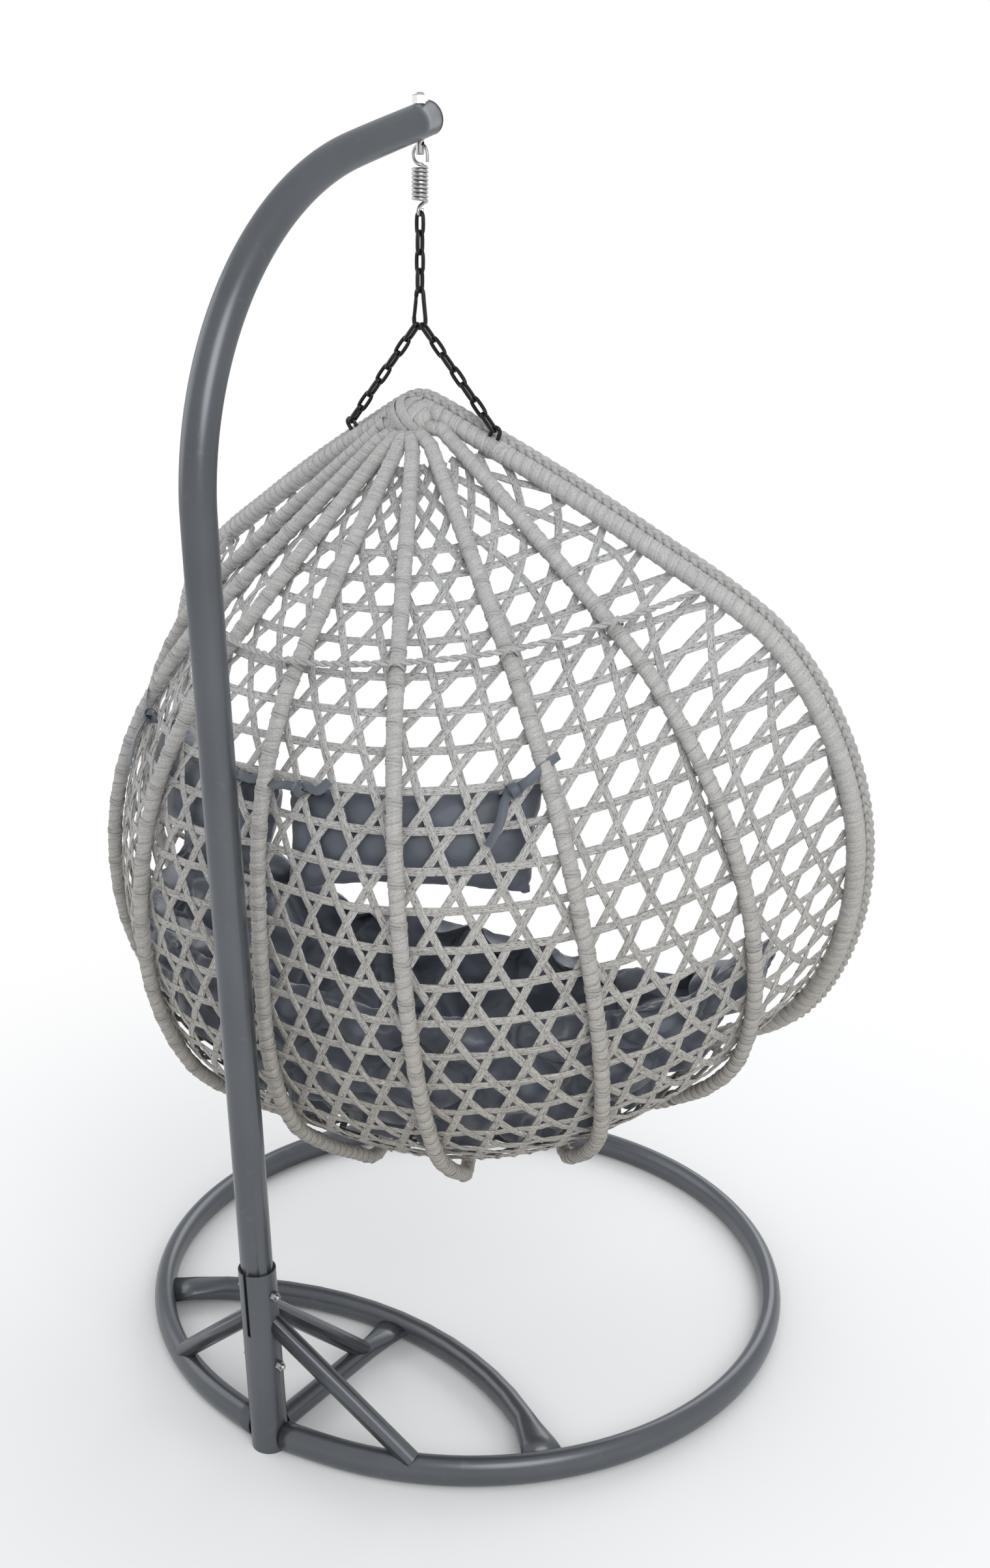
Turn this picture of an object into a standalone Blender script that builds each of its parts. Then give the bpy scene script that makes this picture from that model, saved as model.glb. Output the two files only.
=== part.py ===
"""Hanging egg chair: a wide woven basket with a pointed top, hung by a spring and chain from a bent tube mast.

Metres, +Z up.  The mast stands on the +Y side and the basket opens to -Y.  The origin is on the floor,
under the middle of the part's plan box.  "Turn" is the plan angle round the basket, zero at the back.
"""
import math

import bmesh
import bpy
from mathutils import Matrix, Vector
from mathutils.bvhtree import BVHTree

# Fits
GAP = 0.0003                    # clearance between pieces that touch
SLIP = 0.0006                   # clearance of a tube or bolt that slides in its hole

# Floor ring: an oval tube bent into a circle, open where the socket stands
RING_RADIUS = 0.525
RING_WIDE = 0.035
RING_TALL = 0.046
RING_WALL = 0.0020
RING_STEPS = 40

# Mast: straight foot that leans out, one long bend, and an arm that rises to its tip
MAST_OD = 0.048
MAST_WALL = 0.0022
MAST_FOOT_Y = 0.526             # where the mast axis meets the floor, from the ring's centre
MAST_LEAN = math.radians(3.6)
MAST_BEND_RADIUS = 0.460
MAST_BOTTOM_Z = 0.060
ARM_RISE = math.radians(17.3)
HANG_Y = 0.148                  # hang line, from the ring's centre
ARM_OVERHANG = 0.020            # arm past the hang line, level

# Socket and its bolts
SOCKET_WALL = 0.0028
SOCKET_TOP_Z = 0.310
SLIT_WIDE = 0.006
SLIT_LONG = 0.105
BOLT_HEIGHTS = (0.272, 0.152)
BOLT_D = 0.008
BOLT_HEAD_AF = 0.013
BOLT_HEAD_TALL = 0.0055
NUT_TALL = 0.0068
BOLT_PROUD = 0.005

# Struts of the base
ARC_WIDE = 0.033
ARC_TALL = 0.040
ARC_END_WIDE = 0.072
ARC_END_TALL = 0.016
ARC_END_LONG = 0.110
ARC_END_X = 0.385               # where the arc brace meets the ring's centre line
ARC_MID_Y = 0.200
STRUT_WIDE = 0.030
STRUT_TALL = 0.034
STRUT_END_WIDE = 0.056
STRUT_END_LONG = 0.075
BRACE_D = 0.028
BRACE_WALL = 0.0018
BRACE_TOP_Z = 0.238
BRACE_FOOT_X = 0.225
CENTRE_BRACE_TOP_Z = 0.252
CENTRE_BRACE_FOOT_Y = 0.292

# Hanger: eye bolt, coil spring, chain and snap hook
EYE_BOLT_D = 0.012
CHAINS_MEET_Z = 1.6209          # foot of the snap hook, where the side chains spread
EYE_HOLE_DOWN = 0.0305          # from the arm's axis to the eye bolt's hole
EYE_BOLT_END = 0.0130           # from the hole to the bolt's end
EYE_HOLE_D = 0.0074
HANGER_NUT_AF = 0.019
HANGER_NUT_TALL = 0.009
SPRING_WIRE = 0.0046
SPRING_OD = 0.0255
SPRING_TURNS = 8
SPRING_PITCH = 0.0054
SPRING_CURL_POINTS = 9
SPRING_HOOK_TALL = 0.0275       # top hook, from the coils
SPRING_TAIL_TALL = 0.0205       # bottom hook, from the coils
CHAIN_WIRE = 0.005
LINK_LONG = 0.036
LINK_WIDE = 0.0165
TOP_LINKS = 4
SIDE_LINKS = 7
SNAP_WIRE = 0.0052
SNAP_TALL = 0.060
SNAP_TOP_WIDE = 0.017
SNAP_FOOT_WIDE = 0.025
SNAP_CHAIN_X = 0.0072           # side chains on the snap hook, from its middle

# Basket frame: profiles are (distance from the basket's axis, height)
BACK_PROFILE = ((0.062, 1.449), (0.161, 1.359), (0.280, 1.248), (0.403, 1.126), (0.506, 0.975),
                (0.564, 0.813), (0.578, 0.651), (0.545, 0.515), (0.478, 0.440), (0.405, 0.385))
RIM_PROFILE = ((0.024, 1.507), (0.190, 1.425), (0.360, 1.330), (0.521, 1.226), (0.605, 1.096),
               (0.639, 0.958), (0.630, 0.820), (0.588, 0.699), (0.526, 0.612), (0.441, 0.560))
RIM_LIP = ((0.335, -0.262, 0.503), (0.180, -0.284, 0.470), (0.0, -0.290, 0.461))
RIM_TURN = math.radians(94.0)
RIB_TURN = math.radians(25.0)   # from one rib to the next
RIB_COUNT = 7
SHOULDER_POWER = 7.0            # how late the rim's wider shoulder takes over from the back profile
HEM_POWER = 2.5                 # how late the rim's higher foot takes over
BASKET_LEAN = 0.226             # the axis moves this far forward for each metre down
BASKET_LEAN_Z = 1.500
BASKET_SHIFT = 0.008
SPINE_SET_IN = 0.044            # the back is pressed in where it faces the mast
SPINE_MID_Z = 0.800
SPINE_REACH_Z = 0.260
SPINE_REACH_TURN = math.radians(15.0)
RIM_D = 0.028
RIM_STEPS = 24
RIB_D = 0.022
RIB_HOOK = ((-0.034, -0.020), (-0.062, -0.014), (-0.082, 0.020))
BELT_D = 0.0095
BELT_HEIGHTS = (1.180, 1.190, 1.207, 1.238, 1.285)
BRAID_D = 0.013
BRAID_TURN = math.radians(50.0)  # the braid lies this far round the rim, from outside to front
BINDING_SIZE = (0.047, 0.041, 0.033)
ANCHOR_X = 0.118
STAPLE_WIRE = 0.005
STAPLE_WIDE = 0.018
STAPLE_TALL = 0.019

# Weave and cushions
WEAVE_THICK = 0.004
PROFILE_STEPS = 18              # ribs and weave bend at the same steps down the profiles
WEAVE_LIFT = 0.008              # extra distance from the ribs at the foot
WEAVE_TO_RIM = 0.009            # the weave's edge stops this far before the rim's centre line
FLOOR_TURN = math.radians(88.0)
FLOOR_DIP = 0.022
CUSHION_CLEAR = 0.006
SOLE_CLEAR = 0.0062             # allows for the flat facets of floor and sole
CUSHION_THICK = 0.088
CUSHION_BACK_THICK = 0.055     # where it stands up against the wall
CUSHION_EDGE_Z = 0.735
CUSHION_FRONT_Z = 0.535
TUFT_DEEP = 0.034
TUFT_REACH = 0.070
PILLOW_SIZE = (0.350, 0.090, 0.170)
PILLOW_TURN = math.radians(24.5)
PILLOW_Z = 0.965
PILLOW_BEND = 0.024             # its ends come forward this far, because the wall is curved

# Everything is laid out from the ring's centre, then moved so that the plan box is centred
RING_Y = 0.0


def material(name, colour, roughness, metallic=0.0):
    """A plain finish for one kind of piece."""
    finish = bpy.data.materials.get(name) or bpy.data.materials.new(name)
    finish.use_nodes = True
    shader = finish.node_tree.nodes["Principled BSDF"]
    shader.inputs["Base Color"].default_value = (*colour, 1.0)
    shader.inputs["Roughness"].default_value = roughness
    shader.inputs["Metallic"].default_value = metallic
    return finish


def powder_coat(name):
    return material("powder_coat_" + name, (0.105, 0.120, 0.145), 0.42, 0.35)


def zinc(name):
    return material("zinc_" + name, (0.62, 0.62, 0.60), 0.28, 1.0)


def black_chain(name):
    return material("black_chain_" + name, (0.012, 0.012, 0.013), 0.30, 0.6)


def grey_strand(name):
    return material("grey_strand_" + name, (0.42, 0.41, 0.39), 0.62)


def slate_cloth(name):
    return material("slate_cloth_" + name, (0.048, 0.057, 0.072), 0.60)


def solid(name, verts, faces, finish):
    """One closed body as an object, with its faces turned out and its round sides smooth."""
    mesh = bpy.data.meshes.new(name)
    shape = bmesh.new()
    points = [shape.verts.new(v) for v in verts]
    for face in faces:
        shape.faces.new([points[i] for i in face])
    bmesh.ops.recalc_face_normals(shape, faces=shape.faces)
    bmesh.ops.triangulate(shape, faces=[face for face in shape.faces if len(face.verts) == 4])
    shape.to_mesh(mesh)
    shape.free()
    mesh.shade_smooth()
    mesh.set_sharp_from_angle(angle=math.radians(40.0))
    mesh.materials.append(finish(name))
    piece = bpy.data.objects.new(name, mesh)
    bpy.context.collection.objects.link(piece)
    return piece


def skin(name, rings, finish, closed=False, bores=None):
    """A body through rings of points: round a closed path, or with end faces; bores make it a tube."""
    count = len(rings[0])
    levels = len(rings)
    verts = [v for ring in rings for v in ring]
    faces = []

    def wall(first, spans):
        for k in range(spans):
            for i in range(count):
                j = (i + 1) % count
                a = first + k * count
                b = first + ((k + 1) % levels) * count
                faces.append((a + i, a + j, b + j, b + i))

    spans = levels if closed else levels - 1
    wall(0, spans)
    if bores:
        inner = len(verts)
        verts += [v for ring in bores for v in ring]
        wall(inner, spans)
        if not closed:
            for level in (0, levels - 1):
                for i in range(count):
                    j = (i + 1) % count
                    a = level * count
                    faces.append((a + i, a + j, inner + a + j, inner + a + i))
    elif not closed:
        faces.append(tuple(range(count)))
        faces.append(tuple((levels - 1) * count + i for i in range(count)))
    return solid(name, verts, faces, finish)


def pole_skin(name, start, rings, end, finish):
    """A body through rings that closes on a point at each end."""
    count = len(rings[0])
    verts = [start] + [v for ring in rings for v in ring] + [end]
    last = len(verts) - 1
    top = last - count
    faces = [(0, 1 + i, 1 + (i + 1) % count) for i in range(count)]
    for k in range(len(rings) - 1):
        a = 1 + k * count
        for i in range(count):
            j = (i + 1) % count
            faces.append((a + i, a + j, a + count + j, a + count + i))
    faces += [(top + i, top + (i + 1) % count, last) for i in range(count)]
    return solid(name, verts, faces, finish)


def slab(name, front, back, finish):
    """A thin curved body between two like grids of points."""
    rows = len(front)
    cols = len(front[0])
    verts = [v for row in front for v in row] + [v for row in back for v in row]
    far = rows * cols
    faces = []
    for r in range(rows - 1):
        for c in range(cols - 1):
            a = r * cols + c
            faces.append((a, a + 1, a + cols + 1, a + cols))
            faces.append((far + a, far + a + cols, far + a + cols + 1, far + a + 1))
    edge = [c for c in range(cols)]
    edge += [r * cols + cols - 1 for r in range(1, rows)]
    edge += [(rows - 1) * cols + c for c in range(cols - 2, -1, -1)]
    edge += [r * cols for r in range(rows - 2, 0, -1)]
    for k, a in enumerate(edge):
        b = edge[(k + 1) % len(edge)]
        faces.append((a, b, far + b, far + a))
    return solid(name, verts, faces, finish)


def round_section(diameter, sides):
    """A circle as points, with a point on each of its four axes."""
    step = math.tau / sides
    return [(diameter / 2 * math.cos(i * step), diameter / 2 * math.sin(i * step)) for i in range(sides)]


def oval_section(wide, tall, sides):
    """An oval with flats at its sides, top and bottom."""
    half = math.pi / sides
    spread = 1.0 / math.cos(half)
    angles = [half + i * math.tau / sides for i in range(sides)]
    return [(wide / 2 * spread * math.cos(a), tall / 2 * spread * math.sin(a)) for a in angles]


def swept_rings(path, section, reference, closed=False):
    """Section points round each point of a path; reference is the section's up direction."""
    rings = []
    count = len(path)
    for k, point in enumerate(path):
        ahead = path[(k + 1) % count] if closed else path[min(k + 1, count - 1)]
        behind = path[k - 1] if closed else path[max(k - 1, 0)]
        along = (ahead - behind).normalized()
        up = (reference - along * reference.dot(along)).normalized()
        side = along.cross(up)
        shape = section(k) if callable(section) else section
        rings.append([point + side * a + up * b for a, b in shape])
    return rings


def rod(name, path, diameter, sides, reference, finish, closed=False):
    """A round bar along a path."""
    rings = swept_rings(path, round_section(diameter, sides), reference, closed)
    return skin(name, rings, finish, closed)


def turned(name, profile, centre, axis, sides, finish):
    """A body turned round an axis; the profile is (radius, distance along the axis) from end to end."""
    along = axis.normalized()
    side = along.orthogonal().normalized()
    up = along.cross(side)
    rings = []
    for radius, distance in profile:
        ring = []
        for i in range(sides):
            a = i * math.tau / sides
            ring.append(centre + along * distance + (side * math.cos(a) + up * math.sin(a)) * radius)
        rings.append(ring)
    start = centre + along * profile[0][1]
    end = centre + along * profile[-1][1]
    return pole_skin(name, start, rings, end, finish)


def cut(piece, cutter):
    """Takes one shape away from a piece, and keeps the shape as a hidden wire guide."""
    cutter.hide_render = True
    cutter.display_type = "WIRE"
    boolean = piece.modifiers.new("cut_" + cutter.name, "BOOLEAN")
    boolean.operation = "DIFFERENCE"
    boolean.solver = "EXACT"
    boolean.object = cutter
    return piece


def curve_points(points, spans):
    """Points on a smooth curve through the given ones, with the same number of steps in each stretch."""
    result = []
    last = len(points) - 1
    for k in range(last):
        p0 = points[max(k - 1, 0)]
        p1 = points[k]
        p2 = points[k + 1]
        p3 = points[min(k + 2, last)]
        for step in range(spans):
            t = step / spans
            result.append(0.5 * (2 * p1 + (p2 - p0) * t + (2 * p0 - 5 * p1 + 4 * p2 - p3) * t * t
                                 + (3 * p1 - p0 - 3 * p2 + p3) * t ** 3))
    result.append(points[last].copy())
    return result


def mast_axis(height):
    """The centre of the mast's straight foot and of its socket at a height."""
    return Vector((0.0, MAST_FOOT_Y + math.tan(MAST_LEAN) * height, height))


def mast_path():
    """The mast's centre line: straight foot, one arc, straight arm."""
    up = Vector((0.0, math.sin(MAST_LEAN), math.cos(MAST_LEAN)))
    arm = Vector((0.0, -math.cos(ARM_RISE), math.sin(ARM_RISE)))
    hang = Vector((0.0, HANG_Y, arm_z()))
    foot = mast_axis(0.0)
    # corner where the foot's line and the arm's line cross
    across = up.y * arm.z - up.z * arm.y
    reach = ((hang.y - foot.y) * arm.z - (hang.z - foot.z) * arm.y) / across
    corner = foot + up * reach
    bend = math.acos(up.dot(arm))
    tangent = MAST_BEND_RADIUS * math.tan(bend / 2)
    start = corner - up * tangent
    centre = start + Vector((0.0, -up.z, up.y)) * MAST_BEND_RADIUS
    spoke = start - centre
    points = [mast_axis(MAST_BOTTOM_Z), mast_axis((MAST_BOTTOM_Z + SOCKET_TOP_Z) / 2)]
    points += [mast_axis(SOCKET_TOP_Z + 0.02)]
    steps = 16
    for k in range(steps + 1):
        points.append(centre + Matrix.Rotation(bend * k / steps, 3, "X") @ spoke)
    points.append(hang + arm * (ARM_OVERHANG / math.cos(ARM_RISE)))
    return points, centre.y + MAST_BEND_RADIUS + MAST_OD / 2


def make_ring():
    """The floor ring, open at the socket, with a flat underside all the way round."""
    steps = RING_STEPS
    path = []
    for k in range(steps):
        a = math.pi / 2 + (k + 0.5) * math.tau / steps
        path.append(Vector((RING_RADIUS * math.cos(a), RING_RADIUS * math.sin(a), RING_TALL / 2)))
    up = Vector((0.0, 0.0, 1.0))
    outer = oval_section(RING_WIDE, RING_TALL, 12)
    inner = oval_section(RING_WIDE - 2 * RING_WALL, RING_TALL - 2 * RING_WALL, 12)
    rings = swept_rings(path, outer, up, closed=True)
    bores = swept_rings(path, inner, up, closed=True)
    # the tube starts and ends beside the socket, so its two cut ends are open
    half = (MAST_OD / 2 + SLIP + SOCKET_WALL + GAP) * 1.02
    turn = math.asin(half / RING_RADIUS)
    for level, side in ((0, 1), (steps - 1, -1)):
        a = math.pi / 2 + side * turn
        move = Matrix.Rotation(a - math.atan2(path[level].y, path[level].x), 3, "Z")
        rings[level] = [move @ v for v in rings[level]]
        bores[level] = [move @ v for v in bores[level]]
    return skin("base_ring", rings, powder_coat, closed=False, bores=bores)


def socket_outer():
    return MAST_OD / 2 + SLIP + SOCKET_WALL


def leaning_tube_ring(radius, height, sides):
    """A level slice through a tube along the mast's foot axis."""
    centre = mast_axis(height)
    step = math.tau / sides
    points = []
    for i in range(sides):
        x = radius * math.cos(i * step)
        y = radius * math.sin(i * step) / math.cos(MAST_LEAN)
        points.append(centre + Vector((x, y, 0.0)))
    return points


def socket_guide(name, radius, low, high):
    """A plain leaning cylinder, for cutting what meets the socket."""
    rings = [leaning_tube_ring(radius, low, 24), leaning_tube_ring(radius, high, 24)]
    return skin(name, rings, powder_coat)


def cross_hole(name, height, diameter):
    """A cylinder along X through the socket."""
    reach = 0.05
    profile = ((diameter / 2, -reach), (diameter / 2, reach))
    return turned(name, profile, mast_axis(height), Vector((1, 0, 0)), 12, zinc)


def make_socket():
    """The upright tube welded into the ring: it holds the mast, and its top is slit so it can clamp."""
    sides = 24
    levels = (0.0, SOCKET_TOP_Z)
    outer = [leaning_tube_ring(socket_outer(), z, sides) for z in levels]
    inner = [leaning_tube_ring(MAST_OD / 2 + SLIP, z, sides) for z in levels]
    socket = skin("mast_socket", outer, powder_coat, bores=inner)
    centre = mast_axis(SOCKET_TOP_Z - SLIT_LONG / 2) + Vector((0.0, MAST_OD / 2 + 0.004, 0.01))
    half = Vector((SLIT_WIDE / 2, 0.012, SLIT_LONG / 2 + 0.01))
    corners = [(-1, -1), (1, -1), (1, 1), (-1, 1)]
    box = [[centre + Vector((half.x * a, half.y * b, half.z * s)) for a, b in corners] for s in (-1, 1)]
    cut(socket, skin("guide_slit", box, powder_coat))
    for k, height in enumerate(BOLT_HEIGHTS):
        cut(socket, cross_hole("guide_socket_bolt_%d" % (k + 1), height, BOLT_D + 2 * SLIP))
    return socket


def make_mast():
    """The bent tube, drilled for the socket bolts and for the eye bolt in its arm."""
    path, reach = mast_path()
    across = Vector((1, 0, 0))
    sides = 16
    rings = swept_rings(path, round_section(MAST_OD, sides), across)
    bores = swept_rings(path, round_section(MAST_OD - 2 * MAST_WALL, sides), across)
    mast = skin("mast", rings, powder_coat, bores=bores)
    for k, height in enumerate(BOLT_HEIGHTS):
        cut(mast, cross_hole("guide_mast_bolt_%d" % (k + 1), height, BOLT_D + 2 * SLIP))
    radius = EYE_BOLT_D / 2 + GAP
    hole = turned("guide_eye_bolt", ((radius, -0.06), (radius, 0.06)), Vector((0, HANG_Y, arm_z())),
                  Vector((0, 0, 1)), 16, zinc)
    cut(mast, hole)
    return mast


def make_arm_cap():
    """The plastic plug that closes the arm's open end, slightly domed."""
    arm = Vector((0.0, -math.cos(ARM_RISE), math.sin(ARM_RISE)))
    tip = Vector((0.0, HANG_Y, arm_z())) + arm * (ARM_OVERHANG / math.cos(ARM_RISE))
    bore = (MAST_OD / 2 - MAST_WALL) * math.cos(math.pi / 16) - GAP
    edge = MAST_OD / 2
    profile = ((bore * 0.90, -0.005), (bore, -0.004), (bore, GAP), (edge, GAP), (edge, 0.0018),
               (edge * 0.90, 0.0042), (edge * 0.55, 0.0062))
    return turned("arm_end_cap", profile, tip, arm, 20, powder_coat)


def make_socket_bolt(index, height):
    """A hexagon bolt through socket and mast along X, and its nut."""
    face = socket_outer() + GAP
    centre = mast_axis(height)
    across = Vector((-1, 0, 0))
    head = BOLT_HEAD_AF / math.sqrt(3)
    shank = BOLT_D / 2
    # the head is a separate turned shape with six sides, so the shank runs from it as a second skin
    end = face + NUT_TALL + BOLT_PROUD
    sides = 12
    side = Vector((0, 0, 1))
    up = Vector((0, 1, 0))
    hexagon = []
    for i in range(sides):
        a = i * math.tau / sides
        corner = head * math.cos(math.pi / 6) / math.cos((a + math.pi / 6) % (math.pi / 3) - math.pi / 6)
        hexagon.append((corner * math.cos(a), corner * math.sin(a)))
    circle = [(shank * math.cos(i * math.tau / sides), shank * math.sin(i * math.tau / sides))
              for i in range(sides)]
    stations = ((hexagon, -face - BOLT_HEAD_TALL), (hexagon, -face), (circle, -face), (circle, end - 0.001),
                ([(a * 0.8, b * 0.8) for a, b in circle], end))
    rings = [[centre + across * d + side * a + up * b for a, b in shape] for shape, d in stations]
    bolt = skin("socket_bolt_%s" % index, rings, zinc)
    outer = [[centre + across * d + side * a + up * b for a, b in hexagon] for d in (face, face + NUT_TALL)]
    hole = shank + SLIP
    inner = [[centre + across * d + side * a / shank * hole + up * b / shank * hole for a, b in circle]
             for d in (face, face + NUT_TALL)]
    nut = skin("socket_nut_%s" % index, outer, zinc, bores=inner)
    return bolt, nut


def ease(value):
    """Zero to one with soft ends."""
    value = min(max(value, 0.0), 1.0)
    return value * value * (3.0 - 2.0 * value)


def pressed_section(path, wide, tall, end_wide, end_tall, end_long, thin, both=True):
    """Oval sections along a path that fan out and flatten towards its ends; thin takes off the wall."""
    lengths = [0.0]
    for a, b in zip(path, path[1:]):
        lengths.append(lengths[-1] + (b - a).length)
    total = lengths[-1]

    def section(k):
        near = min(lengths[k], total - lengths[k]) if both else total - lengths[k]
        share = 1.0 - ease(near / end_long)
        return oval_section(wide + (end_wide - wide) * share - 2 * thin,
                            tall + (end_tall - tall) * share - 2 * thin, 12)
    return section


def arc_brace_path():
    """A flat arc from ring to ring that bows towards the ring's centre."""
    end_y = math.sqrt(RING_RADIUS ** 2 - ARC_END_X ** 2)
    rise = end_y - ARC_MID_Y
    radius = (ARC_END_X ** 2 + rise ** 2) / (2 * rise)
    centre_y = ARC_MID_Y + radius
    half = math.asin(ARC_END_X / radius)
    steps = 16
    path = []
    for k in range(steps + 1):
        a = -half + 2 * half * k / steps
        path.append(Vector((radius * math.sin(a), centre_y - radius * math.cos(a), RING_TALL / 2)))
    return path


def ring_guide(name, grow):
    """The ring's outer shape made larger all round, for cutting what is welded to it."""
    steps = RING_STEPS
    path = []
    for k in range(steps):
        a = math.pi / 2 + (k + 0.5) * math.tau / steps
        path.append(Vector((RING_RADIUS * math.cos(a), RING_RADIUS * math.sin(a), RING_TALL / 2)))
    section = oval_section(RING_WIDE + 2 * grow, RING_TALL + 2 * grow, 12)
    return skin(name, swept_rings(path, section, Vector((0, 0, 1)), closed=True), powder_coat, closed=True)


def make_arc_brace():
    """The bowed tube across the back of the ring; both ends are pressed flat and wide."""
    path = arc_brace_path()
    up = Vector((0, 0, 1))
    sizes = (path, ARC_WIDE, ARC_TALL, ARC_END_WIDE, ARC_END_TALL, ARC_END_LONG)
    rings = swept_rings(path, pressed_section(*sizes, 0.0), up)
    bores = swept_rings(path, pressed_section(*sizes, RING_WALL), up)
    return cut(skin("arc_brace", rings, powder_coat, bores=bores), ring_guide("guide_ring_arc", GAP))


def make_strut():
    """The short tube from the socket's foot to the arc brace, pressed wide at the brace."""
    start = socket_outer() + GAP
    path = []
    first_y = MAST_FOOT_Y - start
    last_y = ARC_MID_Y + ARC_WIDE * 0.35
    steps = 8
    for k in range(steps + 1):
        path.append(Vector((0, first_y + (last_y - first_y) * k / steps, RING_TALL / 2)))
    up = Vector((0, 0, 1))
    sizes = (path, STRUT_WIDE, STRUT_TALL, STRUT_END_WIDE, ARC_END_TALL, STRUT_END_LONG)
    rings = swept_rings(path, pressed_section(*sizes, 0.0, False), up)
    bores = swept_rings(path, pressed_section(*sizes, RING_WALL, False), up)
    strut = skin("radial_strut", rings, powder_coat, bores=bores)
    grown = oval_section(ARC_WIDE + 2 * GAP, ARC_TALL + 2 * GAP, 12)
    return cut(strut, skin("guide_arc", swept_rings(arc_brace_path()[5:12], grown, up), powder_coat))


def make_brace(name, top, foot, foot_guide):
    """A straight round tube from the socket down to the base, shaped to both."""
    along = (foot - top).normalized()
    path = [top, foot]
    side = along.orthogonal()
    sides = 12
    rings = swept_rings(path, round_section(BRACE_D, sides), side)
    bores = swept_rings(path, round_section(BRACE_D - 2 * BRACE_WALL, sides), side)
    brace = skin(name, rings, powder_coat, bores=bores)
    cut(brace, socket_guide("guide_socket_" + name, socket_outer() + GAP, 0.05, 0.40))
    return cut(brace, foot_guide)


def make_eye_bolt():
    """The bolt that hangs down through the arm, with a cross hole for the spring's hook."""
    top = arm_z() + MAST_OD / 2 / math.cos(ARM_RISE) + HANGER_NUT_TALL + 0.003
    radius = EYE_BOLT_D / 2
    end = eye_hole_z() - EYE_BOLT_END
    profile = ((radius - 0.001, end), (radius, end + 0.001), (radius, top - 0.001), (radius - 0.001, top))
    bolt = turned("hanger_eye_bolt", profile, Vector((0, HANG_Y, 0)), Vector((0, 0, 1)), 16, zinc)
    hole = turned("guide_eye_hole", ((EYE_HOLE_D / 2, -0.02), (EYE_HOLE_D / 2, 0.02)),
                  Vector((0, HANG_Y, eye_hole_z())), Vector((1, 0, 0)), 12, zinc)
    return cut(bolt, hole)


def make_hanger_nut():
    """The nut on top of the arm, hollowed below to sit on the round tube."""
    base = arm_z() + MAST_OD / 2 - 0.006
    top = arm_z() + MAST_OD / 2 / math.cos(ARM_RISE) + HANGER_NUT_TALL
    corner = HANGER_NUT_AF / math.sqrt(3)
    profile = ((corner, base), (corner, top - 0.0012), (corner * 0.9, top))
    nut = turned("hanger_nut", profile, Vector((0, HANG_Y, 0)), Vector((0, 0, 1)), 6, zinc)
    arm = Vector((0.0, -math.cos(ARM_RISE), math.sin(ARM_RISE)))
    centre = Vector((0.0, HANG_Y, arm_z()))
    radius = MAST_OD / 2 + GAP
    cut(nut, turned("guide_arm", ((radius, -0.05), (radius, 0.05)), centre, arm, 40, zinc))
    hole = EYE_BOLT_D / 2 + GAP
    bore = ((hole, base - HANGER_NUT_TALL), (hole, top + HANGER_NUT_TALL))
    return cut(nut, turned("guide_nut_bore", bore, Vector((0, HANG_Y, 0)), Vector((0, 0, 1)), 16, zinc))


def snap_top_z():
    """Centre of the snap hook's wire at its top, which the chain's last link goes round."""
    return CHAINS_MEET_Z + SNAP_TALL - SNAP_WIRE


def hook_bottom_z():
    """Centre of the spring's wire at the foot of its bottom hook, which the first link hangs on."""
    links = TOP_LINKS * (LINK_LONG - CHAIN_WIRE) - (TOP_LINKS - 1) * (CHAIN_WIRE + GAP)
    nests = (SPRING_WIRE + CHAIN_WIRE) / 2 + GAP + (CHAIN_WIRE + SNAP_WIRE) / 2 + GAP
    return snap_top_z() + links - nests


def coil_bottom_z():
    return hook_bottom_z() + SPRING_TAIL_TALL


def coil_top_z():
    return coil_bottom_z() + SPRING_PITCH * (SPRING_TURNS + 1.0 / 6.0)


def hook_top_z():
    """Centre of the spring's wire where it lies in the eye bolt's hole."""
    return coil_top_z() + SPRING_HOOK_TALL


def eye_hole_z():
    return hook_top_z() + EYE_HOLE_D / 2 - SPRING_WIRE / 2 - GAP


def arm_z():
    """Height of the arm's axis at the hang line: the basket, chains and spring below set it."""
    return eye_hole_z() + EYE_HOLE_DOWN


def spring_path():
    """One unbroken wire: closed top hook across X, close coils, open bottom hook across Y."""
    radius = (SPRING_OD - SPRING_WIRE) / 2
    top = hook_top_z()
    wide = EYE_BOLT_D / 2 + 0.0065
    hook = ((-wide, -0.0215), (-wide, -0.0165), (-wide, -0.0115), (-wide + 0.0022, -0.0035), (-0.0062, 0.0),
            (0.0, 0.0), (0.0062, 0.0), (wide - 0.0022, -0.0035), (wide, -0.0115), (wide - 0.0028, -0.0195),
            (0.0050, -0.0235), (-0.0015, -0.0245), (-0.0065, -0.0260))
    path = [Vector((x, HANG_Y, top + z)) for x, z in hook]
    path[-1].y += 0.0020
    start = math.radians(150.0)
    turns = SPRING_TURNS + 1.0 / 6.0
    count = round(turns * SPRING_CURL_POINTS)
    for k in range(count + 1):
        a = start + math.tau * turns * k / count
        z = coil_top_z() - SPRING_PITCH * turns * k / count
        path.append(Vector((radius * math.cos(a), HANG_Y + radius * math.sin(a), z)))
    low = coil_bottom_z()
    tail = ((-0.0045, -0.0088, -0.0012), (-0.0005, -0.0068, -0.0038), (0.0, -0.0010, -0.0068),
            (0.0, 0.0045, -0.0112), (0.0, 0.0052, -0.0160), (0.0, 0.0030, -0.0195), (0.0, 0.0, -0.0205),
            (0.0, -0.0034, -0.0192), (0.0, -0.0054, -0.0155), (0.0, -0.0060, -0.0110))
    path += [Vector((x, HANG_Y + y, low + z)) for x, y, z in tail]
    return path


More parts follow.
